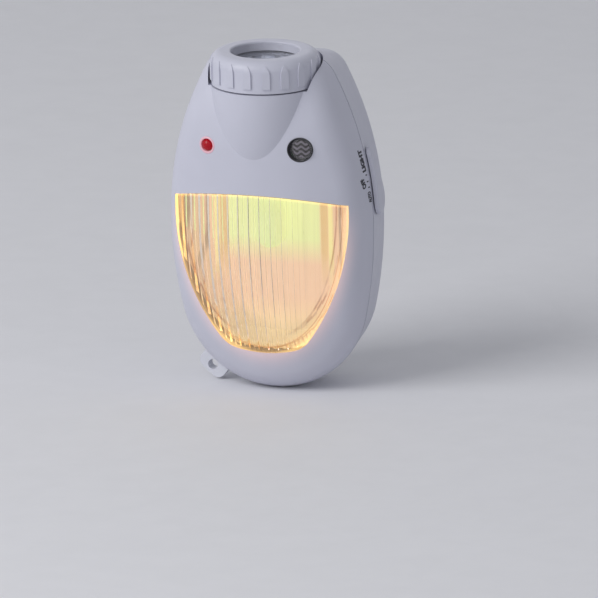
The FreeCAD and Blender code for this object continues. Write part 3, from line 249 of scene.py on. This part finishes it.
# %% [markdown]
# ## How a finish is made
# Moulded plastic is never one flat colour: it has a fine grain, its gloss changes a little from place
# to place, and its colour drifts slightly. Each finish below starts from the same helper, which adds
# noise to the colour, to the roughness and to the small bumps, at the real scale of the object.

# %% The finish helper
DRIFT_CELLS = 90  # noise cells per metre, as in every other scale of noise here
GLOSS_CELLS = 260
FLOOR_TINT = (0.80, 0.80, 0.83)
FINISHES = {}


def noise(tree, cells_per_metre, detail=3.0, stretch=(1, 1, 1)):
    """A noise field on Object coordinates; its grains are longer along an axis whose stretch is under 1."""
    place = tree.nodes.new("ShaderNodeTexCoord")
    scaled = tree.nodes.new("ShaderNodeMapping")
    scaled.inputs["Scale"].default_value = stretch
    field = tree.nodes.new("ShaderNodeTexNoise")
    field.inputs["Scale"].default_value = cells_per_metre
    field.inputs["Detail"].default_value = detail
    tree.links.new(place.outputs["Object"], scaled.inputs["Vector"])
    tree.links.new(scaled.outputs["Vector"], field.inputs["Vector"])
    return field.outputs["Fac"]


def finish(name, colour, roughness, drift=0.04, gloss_change=0.06,
           grain=1800, grain_depth=0.004, stretch=(1, 1, 1)):
    """A Principled finish. drift is how far the colour varies, gloss_change how far the roughness does,
    grain is in grains per metre and grain_depth in millimetres.
    Returns the material, its tree and its shader."""
    material = bpy.data.materials.new(name)
    tree, output = node_tree(material)
    shader = tree.nodes.new("ShaderNodeBsdfPrincipled")
    tree.links.new(shader.outputs["BSDF"], output.inputs["Surface"])
    if drift:
        darker = tuple(c * (1 - drift) for c in colour)
        lighter = tuple(min(1, c * (1 + drift)) for c in colour)
        cloud = remap(tree, noise(tree, DRIFT_CELLS, 2.0, stretch), 0, 1)
        colour = blend_colours(tree, cloud, darker, lighter)
    feed(tree, colour, shader.inputs["Base Color"])
    patches = noise(tree, GLOSS_CELLS, 4.0, stretch)
    gloss = remap(tree, patches, roughness - gloss_change, roughness + gloss_change)
    tree.links.new(gloss, shader.inputs["Roughness"])
    if grain_depth:
        bump = tree.nodes.new("ShaderNodeBump")
        bump.inputs["Distance"].default_value = grain_depth * MM
        tree.links.new(noise(tree, grain, 2.0, stretch), bump.inputs["Height"])
        tree.links.new(bump.outputs["Normal"], shader.inputs["Normal"])
    FINISHES[name] = material
    return material, tree, shader


def glow(tree, shader, colour, strength):
    """Makes a surface give light; the colour and the strength are each a fixed value or a socket."""
    feed(tree, colour, shader.inputs["Emission Color"])
    feed(tree, strength, shader.inputs["Emission Strength"])


def wear(material, *parts):
    """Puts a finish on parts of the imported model."""
    for part in parts:
        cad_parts[part].material_slots[0].material = material


floor_paper, _, _ = finish("floor_paper", FLOOR_TINT, 0.7, drift=0.01, grain=700, grain_depth=0.02)
floor.data.materials.append(floor_paper)
print("finish helper ready, and the floor has its finish")

# %% [markdown]
# ## The outline of the lens
# Several patterns follow the lens's edge, so its outline is written once, as two curves. The lower one
# is a squarish half ellipse, and the upper one is a shallow parabola.

# %% Lens outline
LENS_CENTRE_Z = 34.9 * MM
LENS_HALF_WIDTH = 28.6 * MM
LENS_DROP = 49.9 * MM
LENS_POWER = 2.15
LENS_CROWN_Z = 38.2 * MM
LENS_CROWN_RISE = 3.3 * MM


def lens_reach(tree):
    """How far a point is from the lens's middle, as a share of the way to its lower edge, where it is 1.
    The edge is where |x / half width| and |z / drop|, each raised to LENS_POWER, add up to one."""
    x, _, z = separate(tree)
    across = calculate(tree, "ABSOLUTE", calculate(tree, "DIVIDE", x, LENS_HALF_WIDTH))
    lowered = calculate(tree, "SUBTRACT", z, LENS_CENTRE_Z)
    down = calculate(tree, "ABSOLUTE", calculate(tree, "DIVIDE", lowered, LENS_DROP))
    powers = [calculate(tree, "POWER", share, LENS_POWER) for share in (across, down)]
    return calculate(tree, "POWER", calculate(tree, "ADD", *powers), 1 / LENS_POWER)


def below_crown(tree):
    """How far a point is below the lens's upper edge, which is LENS_CROWN_RISE higher in its middle."""
    across, _, height = separate(tree)
    sag = product(tree, across, across, LENS_CROWN_RISE / LENS_HALF_WIDTH**2)
    return calculate(tree, "SUBTRACT", calculate(tree, "SUBTRACT", LENS_CROWN_Z, height), sag)


print("lens outline:", round(2 * LENS_HALF_WIDTH / MM, 1), "mm wide")

# %% [markdown]
# ## The matt case
# The two shells, the knob, the ring and the torch barrel are moulded from the same pale plastic.
# Its mould was lightly spark eroded, so the surface is matt with a very fine grain.
# Light leaking round the big lens warms the shell next to it, so a faint glow follows the lens's edge.

# %% Case plastic
CASE_COLOUR = (0.56, 0.565, 0.655)
CASE_SHINE = 0.4
GLOW_COLOUR = (1.0, 0.42, 0.26)
GLOW_STRENGTH = 0.2
GLOW_END = 1.13  # as a share of the way to the lens's edge
GLOW_TOP_FADE = (20 * MM, 34 * MM)


def case_finish(name):
    """The pale plastic of the case, with a little less shine than plastic usually has."""
    material, tree, shader = finish(name, CASE_COLOUR, 0.42, drift=0.012, grain=2600, grain_depth=0.006)
    shader.inputs["Specular IOR Level"].default_value = CASE_SHINE
    return material, tree, shader


case_plastic, tree, shader = case_finish("case_plastic")
near_edge = fall(tree, lens_reach(tree), 1.0, GLOW_END)
below_top = fall(tree, separate(tree)[2], *GLOW_TOP_FADE)
glow(tree, shader, GLOW_COLOUR, product(tree, near_edge, near_edge, below_top, GLOW_STRENGTH))
wear(case_plastic, "front_shell")
plain_plastic, _, _ = case_finish("plain_plastic")
wear(plain_plastic, "rear_shell", "bezel_ring", "switch_knob", "torch_barrel")
print("case plastic on five parts")

# %% [markdown]
# ## The clear lens
# The lens is clear acrylic, smooth in front and fluted behind, so that each flute draws the lamp out
# into a bright upright stripe. It bends light as the real one does, and its edge gathers light and glows.
# Thin brown lines painted into its colour follow its outline, and short slanted ones stand along its
# bottom, where the flutes end: they are painted shade for the dark lines that the lens bends into view from
# its flanged edge and its flute ends.

# %% Clear lens
LENS_IOR = 1.49
CLEAR_COLOUR = (1.0, 0.97, 0.93)
RIM_SHADE_COLOUR = (0.72, 0.48, 0.34)
SIDE_SHADE_COLOUR = (0.48, 0.31, 0.27)
TOOTH_SHADE_COLOUR = (0.74, 0.55, 0.52)
# The place of each painted shade line as a share of the way to the lens's edge, and half its width in the
# same measure.
RIM_SHADE_LINE = (0.945, 0.007)
SIDE_SHADE_LINE = (0.885, 0.012)
TOOTH_SHADE_BAND = (0.955, 0.034)
SHADE_LINE_CORE = 0.3  # the share of a line's width that is drawn in full
SIDE_SHADE_FADE = (8 * MM, 14 * MM)
SIDE_SHADE_BREAKS = (0.40, 0.54)
BREAK_CELLS = 130
BREAK_STRETCH = (1, 1, 0.5)
TOOTH_PITCH = 1.5 * MM
TOOTH_SLANT = 0.25
TOOTH_SHAPE = (0.35, 0.75)  # a tooth darkens as its wave climbs from the first to the second
TOOTH_FADE = (-9 * MM, -4 * MM)
EDGE_COLOUR = (1.0, 0.62, 0.20)
EDGE_STRENGTH = 0.35
EDGE_RISE = (0.965, 0.99)
SHOULDER_RISE = (0.90, 0.965)
SHOULDER_SHARE = 0.3
CROWN_FADE = (0.4 * MM, 1.0 * MM)


def clear_plastic(name, colour, roughness, bend=LENS_IOR):
    """A clear material that bends light, with faint gloss changes."""
    material, tree, shader = finish(name, colour, roughness, drift=0.0, gloss_change=roughness * 0.5,
                                    grain_depth=0)
    shader.inputs["Transmission Weight"].default_value = 1.0
    shader.inputs["IOR"].default_value = bend
    return material, tree, shader


def painted_shade_line(tree, reach, share, half_width):
    """1 on a painted shade line that runs round the lens at a share of the way to its edge, and 0 away from
    it.
    """
    return fall(tree, off_centre(tree, reach, share), half_width * SHADE_LINE_CORE, half_width)


lens_clear, tree, shader = clear_plastic("lens_clear", CLEAR_COLOUR, 0.03)
reach = lens_reach(tree)
across, _, height = separate(tree)

# The brown lines and teeth below are painted shade in the lens's colour, for the dark flange edge and flute
# ends seen through it.
broken = rise(tree, noise(tree, BREAK_CELLS, 2.0, BREAK_STRETCH), *SIDE_SHADE_BREAKS)
at_sides = rise(tree, calculate(tree, "ABSOLUTE", across), *SIDE_SHADE_FADE)
side_shade = product(tree, painted_shade_line(tree, reach, *SIDE_SHADE_LINE), broken, at_sides)
slanted = calculate(tree, "ADD", across, calculate(tree, "MULTIPLY", height, TOOTH_SLANT))
tooth_shade_wave = rise(tree, wave(tree, slanted, TOOTH_PITCH), *TOOTH_SHAPE)
at_bottom = fall(tree, height, *TOOTH_FADE)
tooth_shade_mask = product(tree, painted_shade_line(tree, reach, *TOOTH_SHADE_BAND), at_bottom)
rim_shaded = blend_colours(tree, painted_shade_line(tree, reach, *RIM_SHADE_LINE), CLEAR_COLOUR, RIM_SHADE_COLOUR)
side_shaded = blend_colours(tree, side_shade, rim_shaded, SIDE_SHADE_COLOUR)
tooth_shaded = blend_colours(tree, product(tree, tooth_shade_wave, tooth_shade_mask), side_shaded, TOOTH_SHADE_COLOUR)
feed(tree, tooth_shaded, shader.inputs["Base Color"])

shoulder = remap(tree, reach, 0, SHOULDER_SHARE, *SHOULDER_RISE)
lower_edge = calculate(tree, "MAXIMUM", rise(tree, reach, *EDGE_RISE), shoulder)
upper_edge = fall(tree, below_crown(tree), *CROWN_FADE)
edge = calculate(tree, "MAXIMUM", lower_edge, upper_edge)
glow(tree, shader, EDGE_COLOUR, product(tree, edge, EDGE_STRENGTH))
wear(lens_clear, "night_light_lens")
print("lens finished, with a tooth every", round(TOOTH_PITCH / MM, 1), "mm")

# %% [markdown]
# ## The lamp and its white tray
# The lamp gives light itself, and the light that it throws on the white tray behind it is painted on the
# tray as a glow.
# That keeps the picture clean, because a ray only has to pass the lens once to find the light.
# The tray's own colour is kept dark, so that its painted glow doesn't bounce about inside and wash out the
# pattern.
# The painted glow has a yellow green patch of lamplight behind the lamp, with straight sides and a soft
# lower end. Beside it stand a painted brown band, a yellow stripe and two dark lines, for the lamp's edge
# as the flutes draw it out.
# Below the patch the painted glow turns peach, and near the tray's walls it is dimmer, as painted shade.
# Fine upright streaks in the painted glow come from a noise that is drawn out along the height.

# %% Lamp, tray and socket
TRAY_BASE = (0.34, 0.32, 0.29)
TRAY_COLOUR = (0.90, 0.57, 0.37)
TRAY_LOW_COLOUR = (0.98, 0.74, 0.38)
TRAY_LOW_FADE = (-12 * MM, 0)
TRAY_STRENGTH = 0.72
WALL_SHADE_FADE = (0.84, 0.98)
WALL_SHADE_SHARE = 0.6
PATCH_COLOUR = (0.83, 0.94, 0.40)
PATCH_MIDDLE = -1.7 * MM
PATCH_HALF_WIDTH = 15.0 * MM
PATCH_SOFTNESS = 0.4 * MM
PATCH_FADE = (11 * MM, 19 * MM)
BROWN_COLOUR = (0.80, 0.52, 0.20)
YELLOW_COLOUR = (0.98, 0.86, 0.34)
PAINTED_DARK_COLOUR = (0.36, 0.22, 0.16)
# Each stripe's distance from the patch's middle, and half its width.
BROWN_BAND = (16.4 * MM, 1.2 * MM)
YELLOW_STRIPE = (18.5 * MM, 0.8 * MM)
PAINTED_DARK_LINES = ((21.6 * MM, 0.45 * MM), (24.9 * MM, 0.5 * MM))
STRIPE_SOFTNESS = 0.2 * MM
STRIPE_FADE = (4 * MM, 16 * MM)
STREAK_CELLS = 900
STREAK_STRETCH = (1, 1, 0.02)
STREAK_RANGE = (0.90, 1.08)
LAMP_BASE = (0.40, 0.42, 0.32)
LAMP_COLOUR = (0.80, 0.93, 0.40)
LAMP_STRENGTH = 0.69


def within(tree, distance, reach, softness):
    """1 where distance is under reach and 0 above it, turning softly from one to the other."""
    return fall(tree, distance, reach - softness, reach + softness)


def stripe(tree, aside, upper, middle, half_width):
    """1 where aside is within half_width of middle, and fading out downward as upper does."""
    return product(tree, within(tree, off_centre(tree, aside, middle), half_width, STRIPE_SOFTNESS), upper)


tray_painted_glow, tree, shader = finish("tray_painted_glow", TRAY_BASE, 0.4, drift=0.02, grain_depth=0.003)
# The glow below is painted light: a patch of lamplight with painted stripes, dimmer near the walls as
# painted shade.
across, _, height = separate(tree)
aside = off_centre(tree, across, PATCH_MIDDLE)
in_width = within(tree, aside, PATCH_HALF_WIDTH, PATCH_SOFTNESS)
patch = product(tree, in_width, rise(tree, height, *PATCH_FADE))
upper = rise(tree, height, *STRIPE_FADE)
painted_dark_lines = calculate(tree, "MAXIMUM", *(stripe(tree, aside, upper, *line) for line in PAINTED_DARK_LINES))
shade = blend_colours(tree, rise(tree, height, *TRAY_LOW_FADE), TRAY_LOW_COLOUR, TRAY_COLOUR)
for share, colour in (
    (painted_dark_lines, PAINTED_DARK_COLOUR),
    (stripe(tree, aside, upper, *BROWN_BAND), BROWN_COLOUR),
    (stripe(tree, aside, upper, *YELLOW_STRIPE), YELLOW_COLOUR),
    (patch, PATCH_COLOUR),
):
    shade = blend_colours(tree, share, shade, colour)
streaks = remap(tree, noise(tree, STREAK_CELLS, 3.0, STREAK_STRETCH), *STREAK_RANGE)
wall_shade = remap(tree, lens_reach(tree), 1, WALL_SHADE_SHARE, *WALL_SHADE_FADE)
glow(tree, shader, shade, product(tree, streaks, wall_shade, TRAY_STRENGTH))
wear(tray_painted_glow, "lamp_reflector", "lamp_socket")

lamp_frosted, tree, shader = finish("lamp_frosted", LAMP_BASE, 0.8, drift=0.01, grain_depth=0.002)
glow(tree, shader, LAMP_COLOUR, LAMP_STRENGTH)
wear(lamp_frosted, "night_lamp")
print("tray, socket and lamp finished")

# %% [markdown]
# ## The torch in the top and the metal parts
# The torch has a bright plated reflector under a clear window, and a small clear bulb in its middle.
# The bulb is off, so its glass is only clear, and the window's rubber seal is matt grey.
# The plug and the inner metal parts take their finishes from the same helper as the reflector.

# %% Torch and metal finishes
GLASS_IOR = 1.5


def metal(name, colour, roughness, stretch=(1, 1, 1)):
    """Bare or plated metal with fine marks."""
    material, _, shader = finish(name, colour, roughness, drift=0.05, gloss_change=roughness * 0.4,
                                 grain=2400, grain_depth=0.002, stretch=stretch)
    shader.inputs["Metallic"].default_value = 1.0
    return material


nickel = metal("nickel", (0.66, 0.64, 0.60), 0.24, (1, 0.12, 1))
wear(clear_plastic("window_clear", (0.96, 0.98, 1.0), 0.02)[0], "torch_window")
wear(clear_plastic("bulb_clear", (0.98, 0.98, 0.98), 0.01, GLASS_IOR)[0], "torch_bulb")
wear(metal("chrome", (0.86, 0.87, 0.90), 0.08), "torch_reflector")
wear(nickel, "torch_bulb_cap", "plug_blades", "battery_straps")
wear(metal("steel", (0.52, 0.53, 0.55), 0.34), "plug_pin", "case_screws")
wear(metal("copper", (0.72, 0.40, 0.22), 0.3, (1, 1, 0.1)), "contact_springs")
wear(finish("seal_rubber", (0.34, 0.34, 0.37), 0.7, grain_depth=0.01)[0], "window_seal")
print("torch, plug and metal finishes done")

# %% [markdown]
# ## The red lamp and the light sensor
# The charge lamp is a red dome with a weak glow of its own.
# The sensor is a dark disc behind a smoky dome: a wavy dark track on a light sensitive coat.
# A weak glow stands for the daylight that the smoky dome lets in.

# %% Red lamp, smoky dome and sensor
DOME_RED = (0.24, 0.001, 0.005)
DOME_GLOW = (1.0, 0.02, 0.05)
DOME_STRENGTH = 0.14
DOME_SHINE = 0.25
SMOKE_COLOUR = (0.86, 0.84, 0.88)
SMOKE_CLEARNESS = 0.95
TRACK_COLOUR = (0.01, 0.008, 0.01)
COAT_COLOUR = (0.50, 0.47, 0.53)
TRACK_PITCH = 1.4 * MM
WIGGLE_PITCH = 2.6 * MM
WIGGLE_REACH = 1.6  # radians of the track's own wave
TRACK_SHAPE = (-0.3, 0.5)  # the coat shows where the wave is over the second
SENSOR_STRENGTH = 0.15

red_dome, tree, shader = finish("red_dome", DOME_RED, 0.15, drift=0.1, grain_depth=0)
shader.inputs["Specular IOR Level"].default_value = DOME_SHINE
glow(tree, shader, DOME_GLOW, DOME_STRENGTH)
wear(red_dome, "charge_lamp")
smoky_dome, _, shader = clear_plastic("smoky_dome", SMOKE_COLOUR, 0.05)
shader.inputs["Transmission Weight"].default_value = SMOKE_CLEARNESS
wear(smoky_dome, "light_sensor_window")

sensor_cell, tree, shader = finish("sensor_cell", COAT_COLOUR, 0.5, drift=0.0)
across, _, height = separate(tree)
wiggle = calculate(tree, "MULTIPLY", wave(tree, across, WIGGLE_PITCH), WIGGLE_REACH)
track = rise(tree, wave(tree, height, TRACK_PITCH, wiggle), *TRACK_SHAPE)
coat = blend_colours(tree, track, TRACK_COLOUR, COAT_COLOUR)
feed(tree, coat, shader.inputs["Base Color"])
glow(tree, shader, coat, SENSOR_STRENGTH)
wear(sensor_cell, "light_sensor_cell")
print("red lamp and sensor finished")

# %% [markdown]
# ## The parts inside, and the strap lug
# The inside is seen only when the case is open or made see-through, but each part has its own finish:
# a green board, a blue film capacitor, a black can, two cells in green shrink sleeve, and black mouldings.
# The strap lug outside is a slightly paler plastic than the case.

# %% Inside finishes
wear(finish("dark_moulding", (0.035, 0.035, 0.04), 0.45)[0], "bulb_holder", "plug_drum", "slide_switch")
wear(finish("board_green", (0.04, 0.20, 0.08), 0.35, drift=0.15, stretch=(0.2, 1, 1))[0], "circuit_board")
wear(finish("film_blue", (0.03, 0.12, 0.42), 0.3)[0], "film_capacitor")
wear(finish("can_black", (0.03, 0.035, 0.05), 0.28)[0], "filter_capacitor")
wear(finish("cell_sleeve", (0.05, 0.30, 0.16), 0.3, drift=0.08)[0], "battery_cells")
wear(finish("lug_plastic", (0.66, 0.67, 0.73), 0.35)[0], "strap_lug")
print("inside parts and lug finished")

# %% [markdown]
# ## Turned and drawn pieces
# Small pieces are woven from a grid of points: each row of the grid is a ring of points, and the next row
# is joined to it by quads. A ring shaped piece closes on itself, and a wire gets a cap at each end.

# %% The weaving helpers
SHARP_ANGLE = math.radians(38)
BOW_RADIUS = 58.0  # in millimetres, as are all the measures of woven pieces
CASE_DEPTH = 38.3
TURNS = 96
around = np.linspace(0, 2 * math.pi, TURNS, endpoint=False)


def dressed(name, mesh, material):
    """Turns a mesh's normals outward, smooths it between its sharp edges, gives it its finish and
    fixes it to the housing."""
    shape = bmesh.new()
    shape.from_mesh(mesh)
    bmesh.ops.recalc_face_normals(shape, faces=shape.faces)
    shape.to_mesh(mesh)
    shape.free()
    mesh.shade_smooth()
    mesh.set_sharp_from_angle(angle=SHARP_ANGLE)
    mesh.materials.append(material)
    piece = bpy.data.objects.new(name, mesh)
    scene.collection.objects.link(piece)
    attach(piece, "housing")


def woven(name, points, material, looped):
    """A piece from a grid of points, rows by columns by three. Its columns always close round,
    its rows close when looped, and otherwise the first and last row are capped."""
    rows, columns, _ = points.shape
    number = np.arange(rows * columns).reshape(rows, columns)
    below = number if looped else number[:-1]
    above = np.roll(number, -1, axis=0) if looped else number[1:]
    quads = np.stack([below, np.roll(below, -1, 1), np.roll(above, -1, 1), above], axis=-1)
    faces = quads.reshape(-1, 4).tolist()
    if not looped:
        faces += [number[0, ::-1].tolist(), number[-1].tolist()]
    mesh = bpy.data.meshes.new(name)
    mesh.from_pydata(points.reshape(-1, 3).tolist(), [], faces)
    dressed(name, mesh, material)


def front_of_case(x):
    """Y of the case's front in its upright part: the front is a cylinder of BOW_RADIUS about
    an upright line, so y = radius - depth - square root of (radius^2 - x^2)."""
    return BOW_RADIUS - CASE_DEPTH - np.sqrt(BOW_RADIUS**2 - x**2)


def collar(name, centre, profile, material):
    """A ring round a forward looking part. Each profile entry is (radius, share, flat_y, lift): the ring
    lies on the case's front where share is 1 and at flat_y where it is 0, and lift moves it forward."""
    rings = []
    for radius, share, flat_y, lift in profile:
        x = centre[0] + radius * np.cos(around)
        z = centre[1] + radius * np.sin(around)
        y = share * front_of_case(x) + (1 - share) * flat_y - lift
        rings.append(np.stack([x, y, z], axis=-1))
    woven(name, np.array(rings) * MM, material, True)


print("weaving helpers ready, case front at the middle:", round(float(front_of_case(0.0)), 2), "mm")

# %% [markdown]
# ## Round the red lamp and the sensor
# The red lamp sits in a pale ring that its light turns pink. The sensor's smoky dome is held by a black
# collar, and a black sleeve behind the dome keeps light from inside the case away from the sensor.

# %% Lamp rim, collar and sleeve
RED_LAMP = (-15.6, 52.8)
SENSOR = (15.1, 53.3)
RIM_GLOW = (1.0, 0.28, 0.36)
RIM_STRENGTH = 0.16
DOME_EDGE = -36.14
SLEEVE_FRONT, SLEEVE_BACK = -33.77, -31.4

lamp_rim, tree, shader = finish("lamp_rim", (0.62, 0.44, 0.50), 0.35, drift=0.02, grain_depth=0.002)
glow(tree, shader, RIM_GLOW, RIM_STRENGTH)
collar_black, _, _ = finish("collar_black", (0.022, 0.022, 0.026), 0.3, drift=0.1, grain_depth=0.002)
collar("charge_lamp_rim", RED_LAMP, [
    (2.06, 1, 0, -1.0), (2.06, 1, 0, 0.02), (2.16, 1, 0, 0.16), (2.36, 1, 0, 0.22),
    (2.58, 1, 0, 0.16), (2.72, 1, 0, 0.02), (2.72, 1, 0, -0.04), (2.54, 1, 0, -0.1), (2.54, 1, 0, -1.0),
], lamp_rim)
collar("sensor_collar", SENSOR, [
    (3.30, 0, DOME_EDGE, -0.12), (3.30, 0, DOME_EDGE, 0.08), (3.40, 0.2, DOME_EDGE, 0.16),
    (3.72, 0.9, DOME_EDGE, 0.16), (3.90, 1, 0, 0.10), (3.94, 1, 0, 0.0),
    (3.94, 1, 0, -0.1), (3.74, 1, 0, -0.2),
], collar_black)
collar("sensor_sleeve", SENSOR, [
    (2.66, 0, SLEEVE_FRONT, 0), (3.60, 0, SLEEVE_FRONT, 0),
    (3.60, 0, SLEEVE_BACK, 0), (2.66, 0, SLEEVE_BACK, 0),
], collar_black)
print("rim, collar and sleeve woven")

# %% [markdown]
# ## The bulb's filament
# Two thin wires stand in the bulb and carry a tiny coil between them.

# %% Filament and its wires
WIRE_SIDES = 12
TORCH_Y = -24.4
COIL_HALF_LENGTH = 1.1
COIL_RADIUS = 0.22
COIL_Z = 68.2
COIL_TURNS = 9
COIL_POINTS = 160
COIL_WIRE = 0.045  # radius of the coil's own wire
STAND_FOOT = (0.7, 63.7)
STAND_TIP = (1.15, 68.25)
STAND_WIRE = 0.11
STAND_POINTS = 12


def wire(name, path, reference, radius, material):
    """A round wire along a path of points: at each point the circle's two axes are the path's direction
    crossed with the reference direction, and the path's direction crossed with that result."""
    ahead = np.gradient(path, axis=0)
    ahead /= np.linalg.norm(ahead, axis=1, keepdims=True)
    first = np.cross(ahead, reference)
    first /= np.linalg.norm(first, axis=1, keepdims=True)
    second = np.cross(ahead, first)
    angle = np.linspace(0, 2 * math.pi, WIRE_SIDES, endpoint=False)
    circle = np.cos(angle)[None, :, None] * first[:, None] + np.sin(angle)[None, :, None] * second[:, None]
    woven(name, (path[:, None] + radius * circle) * MM, material, False)


tungsten = metal("tungsten", (0.42, 0.41, 0.40), 0.35)
along = np.linspace(0, 1, COIL_POINTS)
turned = along * 2 * math.pi * COIL_TURNS
coil = np.stack([
    -COIL_HALF_LENGTH + 2 * COIL_HALF_LENGTH * along,
    TORCH_Y + COIL_RADIUS * np.cos(turned),
    COIL_Z + COIL_RADIUS * np.sin(turned),
], axis=-1)
wire("filament", coil, (1, 0, 0), COIL_WIRE, tungsten)
climb = np.linspace(0, 1, STAND_POINTS)[:, None]
for side in (-1, 1):
    foot, tip = (np.array((x * side, TORCH_Y, z)) for x, z in (STAND_FOOT, STAND_TIP))
    wire(f"filament_wire_{side + 2}", foot + (tip - foot) * climb, (0, 1, 0), STAND_WIRE, nickel)
print("filament and two wires woven")

# %% [markdown]
# ## The switch's labels
# The three places of the switch are printed beside it in small dark letters that read upward,
# with a short mark at each place. Each word is laid flat on the shell between two points, stretched to
# reach from one to the other, and then settled on the shell's own surface.

# %% Printed labels
# Each word, the two points of the shell that it reaches between, and its height, in millimetres.
LABELS = {
    "label_light": ("LIGHT", (31.13, -22.06, 43.8), (29.57, -22.45, 50.9), 2.1),
    "label_off": ("OFF", (31.67, -23.3, 38.8), (30.9, -24.2, 42.0), 2.2),
    "label_auto": ("AUTO", (32.61, -21.0, 33.8), (32.2, -21.4, 37.4), 1.7),
}
MARKS = [(31.44, -21.44, 42.7), (31.75, -21.3, 40.6), (32.05, -21.0, 38.7)]
MARK_HALF_LENGTH = 0.2
MARK_WIDTH = 0.9
BOLDNESS = 0.07
INK_GAP = 0.03 * MM
INK_LAYER = 0.05 * MM
TINY = 1e-9  # keeps a flat mesh from being divided by a thickness of zero

ink, _, _ = finish("ink", (0.025, 0.025, 0.035), 0.5, drift=0.1, grain_depth=0.001)
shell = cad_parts["front_shell"]
shell_faces = BVHTree.FromObject(shell, bpy.context.evaluated_depsgraph_get())


def settled(name, flat, start, end, height):
    """Lays a flat mesh between two points of the shell, height tall, and settles it on the shell."""
    start, end = np.array(start) * MM, np.array(end) * MM
    centre = (start + end) / 2
    normal = np.array(shell_faces.find_nearest(Vector(centre))[1])
    ahead = (end - start) / np.linalg.norm(end - start)
    upward = np.cross(normal, ahead)
    points = np.empty(len(flat.vertices) * 3)
    flat.vertices.foreach_get("co", points)
    points = points.reshape(-1, 3)
    low, high = points.min(axis=0), points.max(axis=0)
    share = (points - (low + high) / 2) / np.maximum(high - low, TINY)
    laid = centre + share[:, :1] * (end - start) + share[:, 1:2] * upward * height * MM
    flat.vertices.foreach_set("co", laid.ravel())
    draft = bpy.data.objects.new(name + "_draft", flat)
    scene.collection.objects.link(draft)
    settle = draft.modifiers.new("settle", "SHRINKWRAP")
    settle.target = shell
    settle.wrap_method = "NEAREST_SURFACEPOINT"
    settle.wrap_mode = "ABOVE_SURFACE"
    settle.offset = INK_GAP
    layer = draft.modifiers.new("layer", "SOLIDIFY")
    layer.thickness = INK_LAYER
    graph = bpy.context.evaluated_depsgraph_get()
    solid = bpy.data.meshes.new_from_object(draft.evaluated_get(graph))
    bpy.data.objects.remove(draft)
    dressed(name, solid, ink)


def lettered(name, word):
    """A word as a flat mesh."""
    curve = bpy.data.curves.new(name, "FONT")
    curve.body = word
    curve.offset = BOLDNESS
    text = bpy.data.objects.new(name + "_text", curve)
    scene.collection.objects.link(text)
    flat = bpy.data.meshes.new_from_object(text)
    bpy.data.objects.remove(text)
    return flat


for name, (word, start, end, height) in LABELS.items():
    settled(name, lettered(name, word), start, end, height)
for place, (x, y, z) in enumerate(MARKS):
    strip = bpy.data.meshes.new("mark")
    strip.from_pydata([(0, 0, 0), (1, 0, 0), (1, 1, 0), (0, 1, 0)], [], [(0, 1, 2, 3)])
    ends = (x, y, z - MARK_HALF_LENGTH), (x, y, z + MARK_HALF_LENGTH)
    settled(f"label_mark_{place}", strip, *ends, MARK_WIDTH)
print(len(LABELS), "labels and", len(MARKS), "marks printed")

# %% [markdown]
# ## The end
# The dressed model has to stay inside the box that the solid parts have. The number of finishes is printed.

# %% The count of finishes
print("finishes:", len(FINISHES))
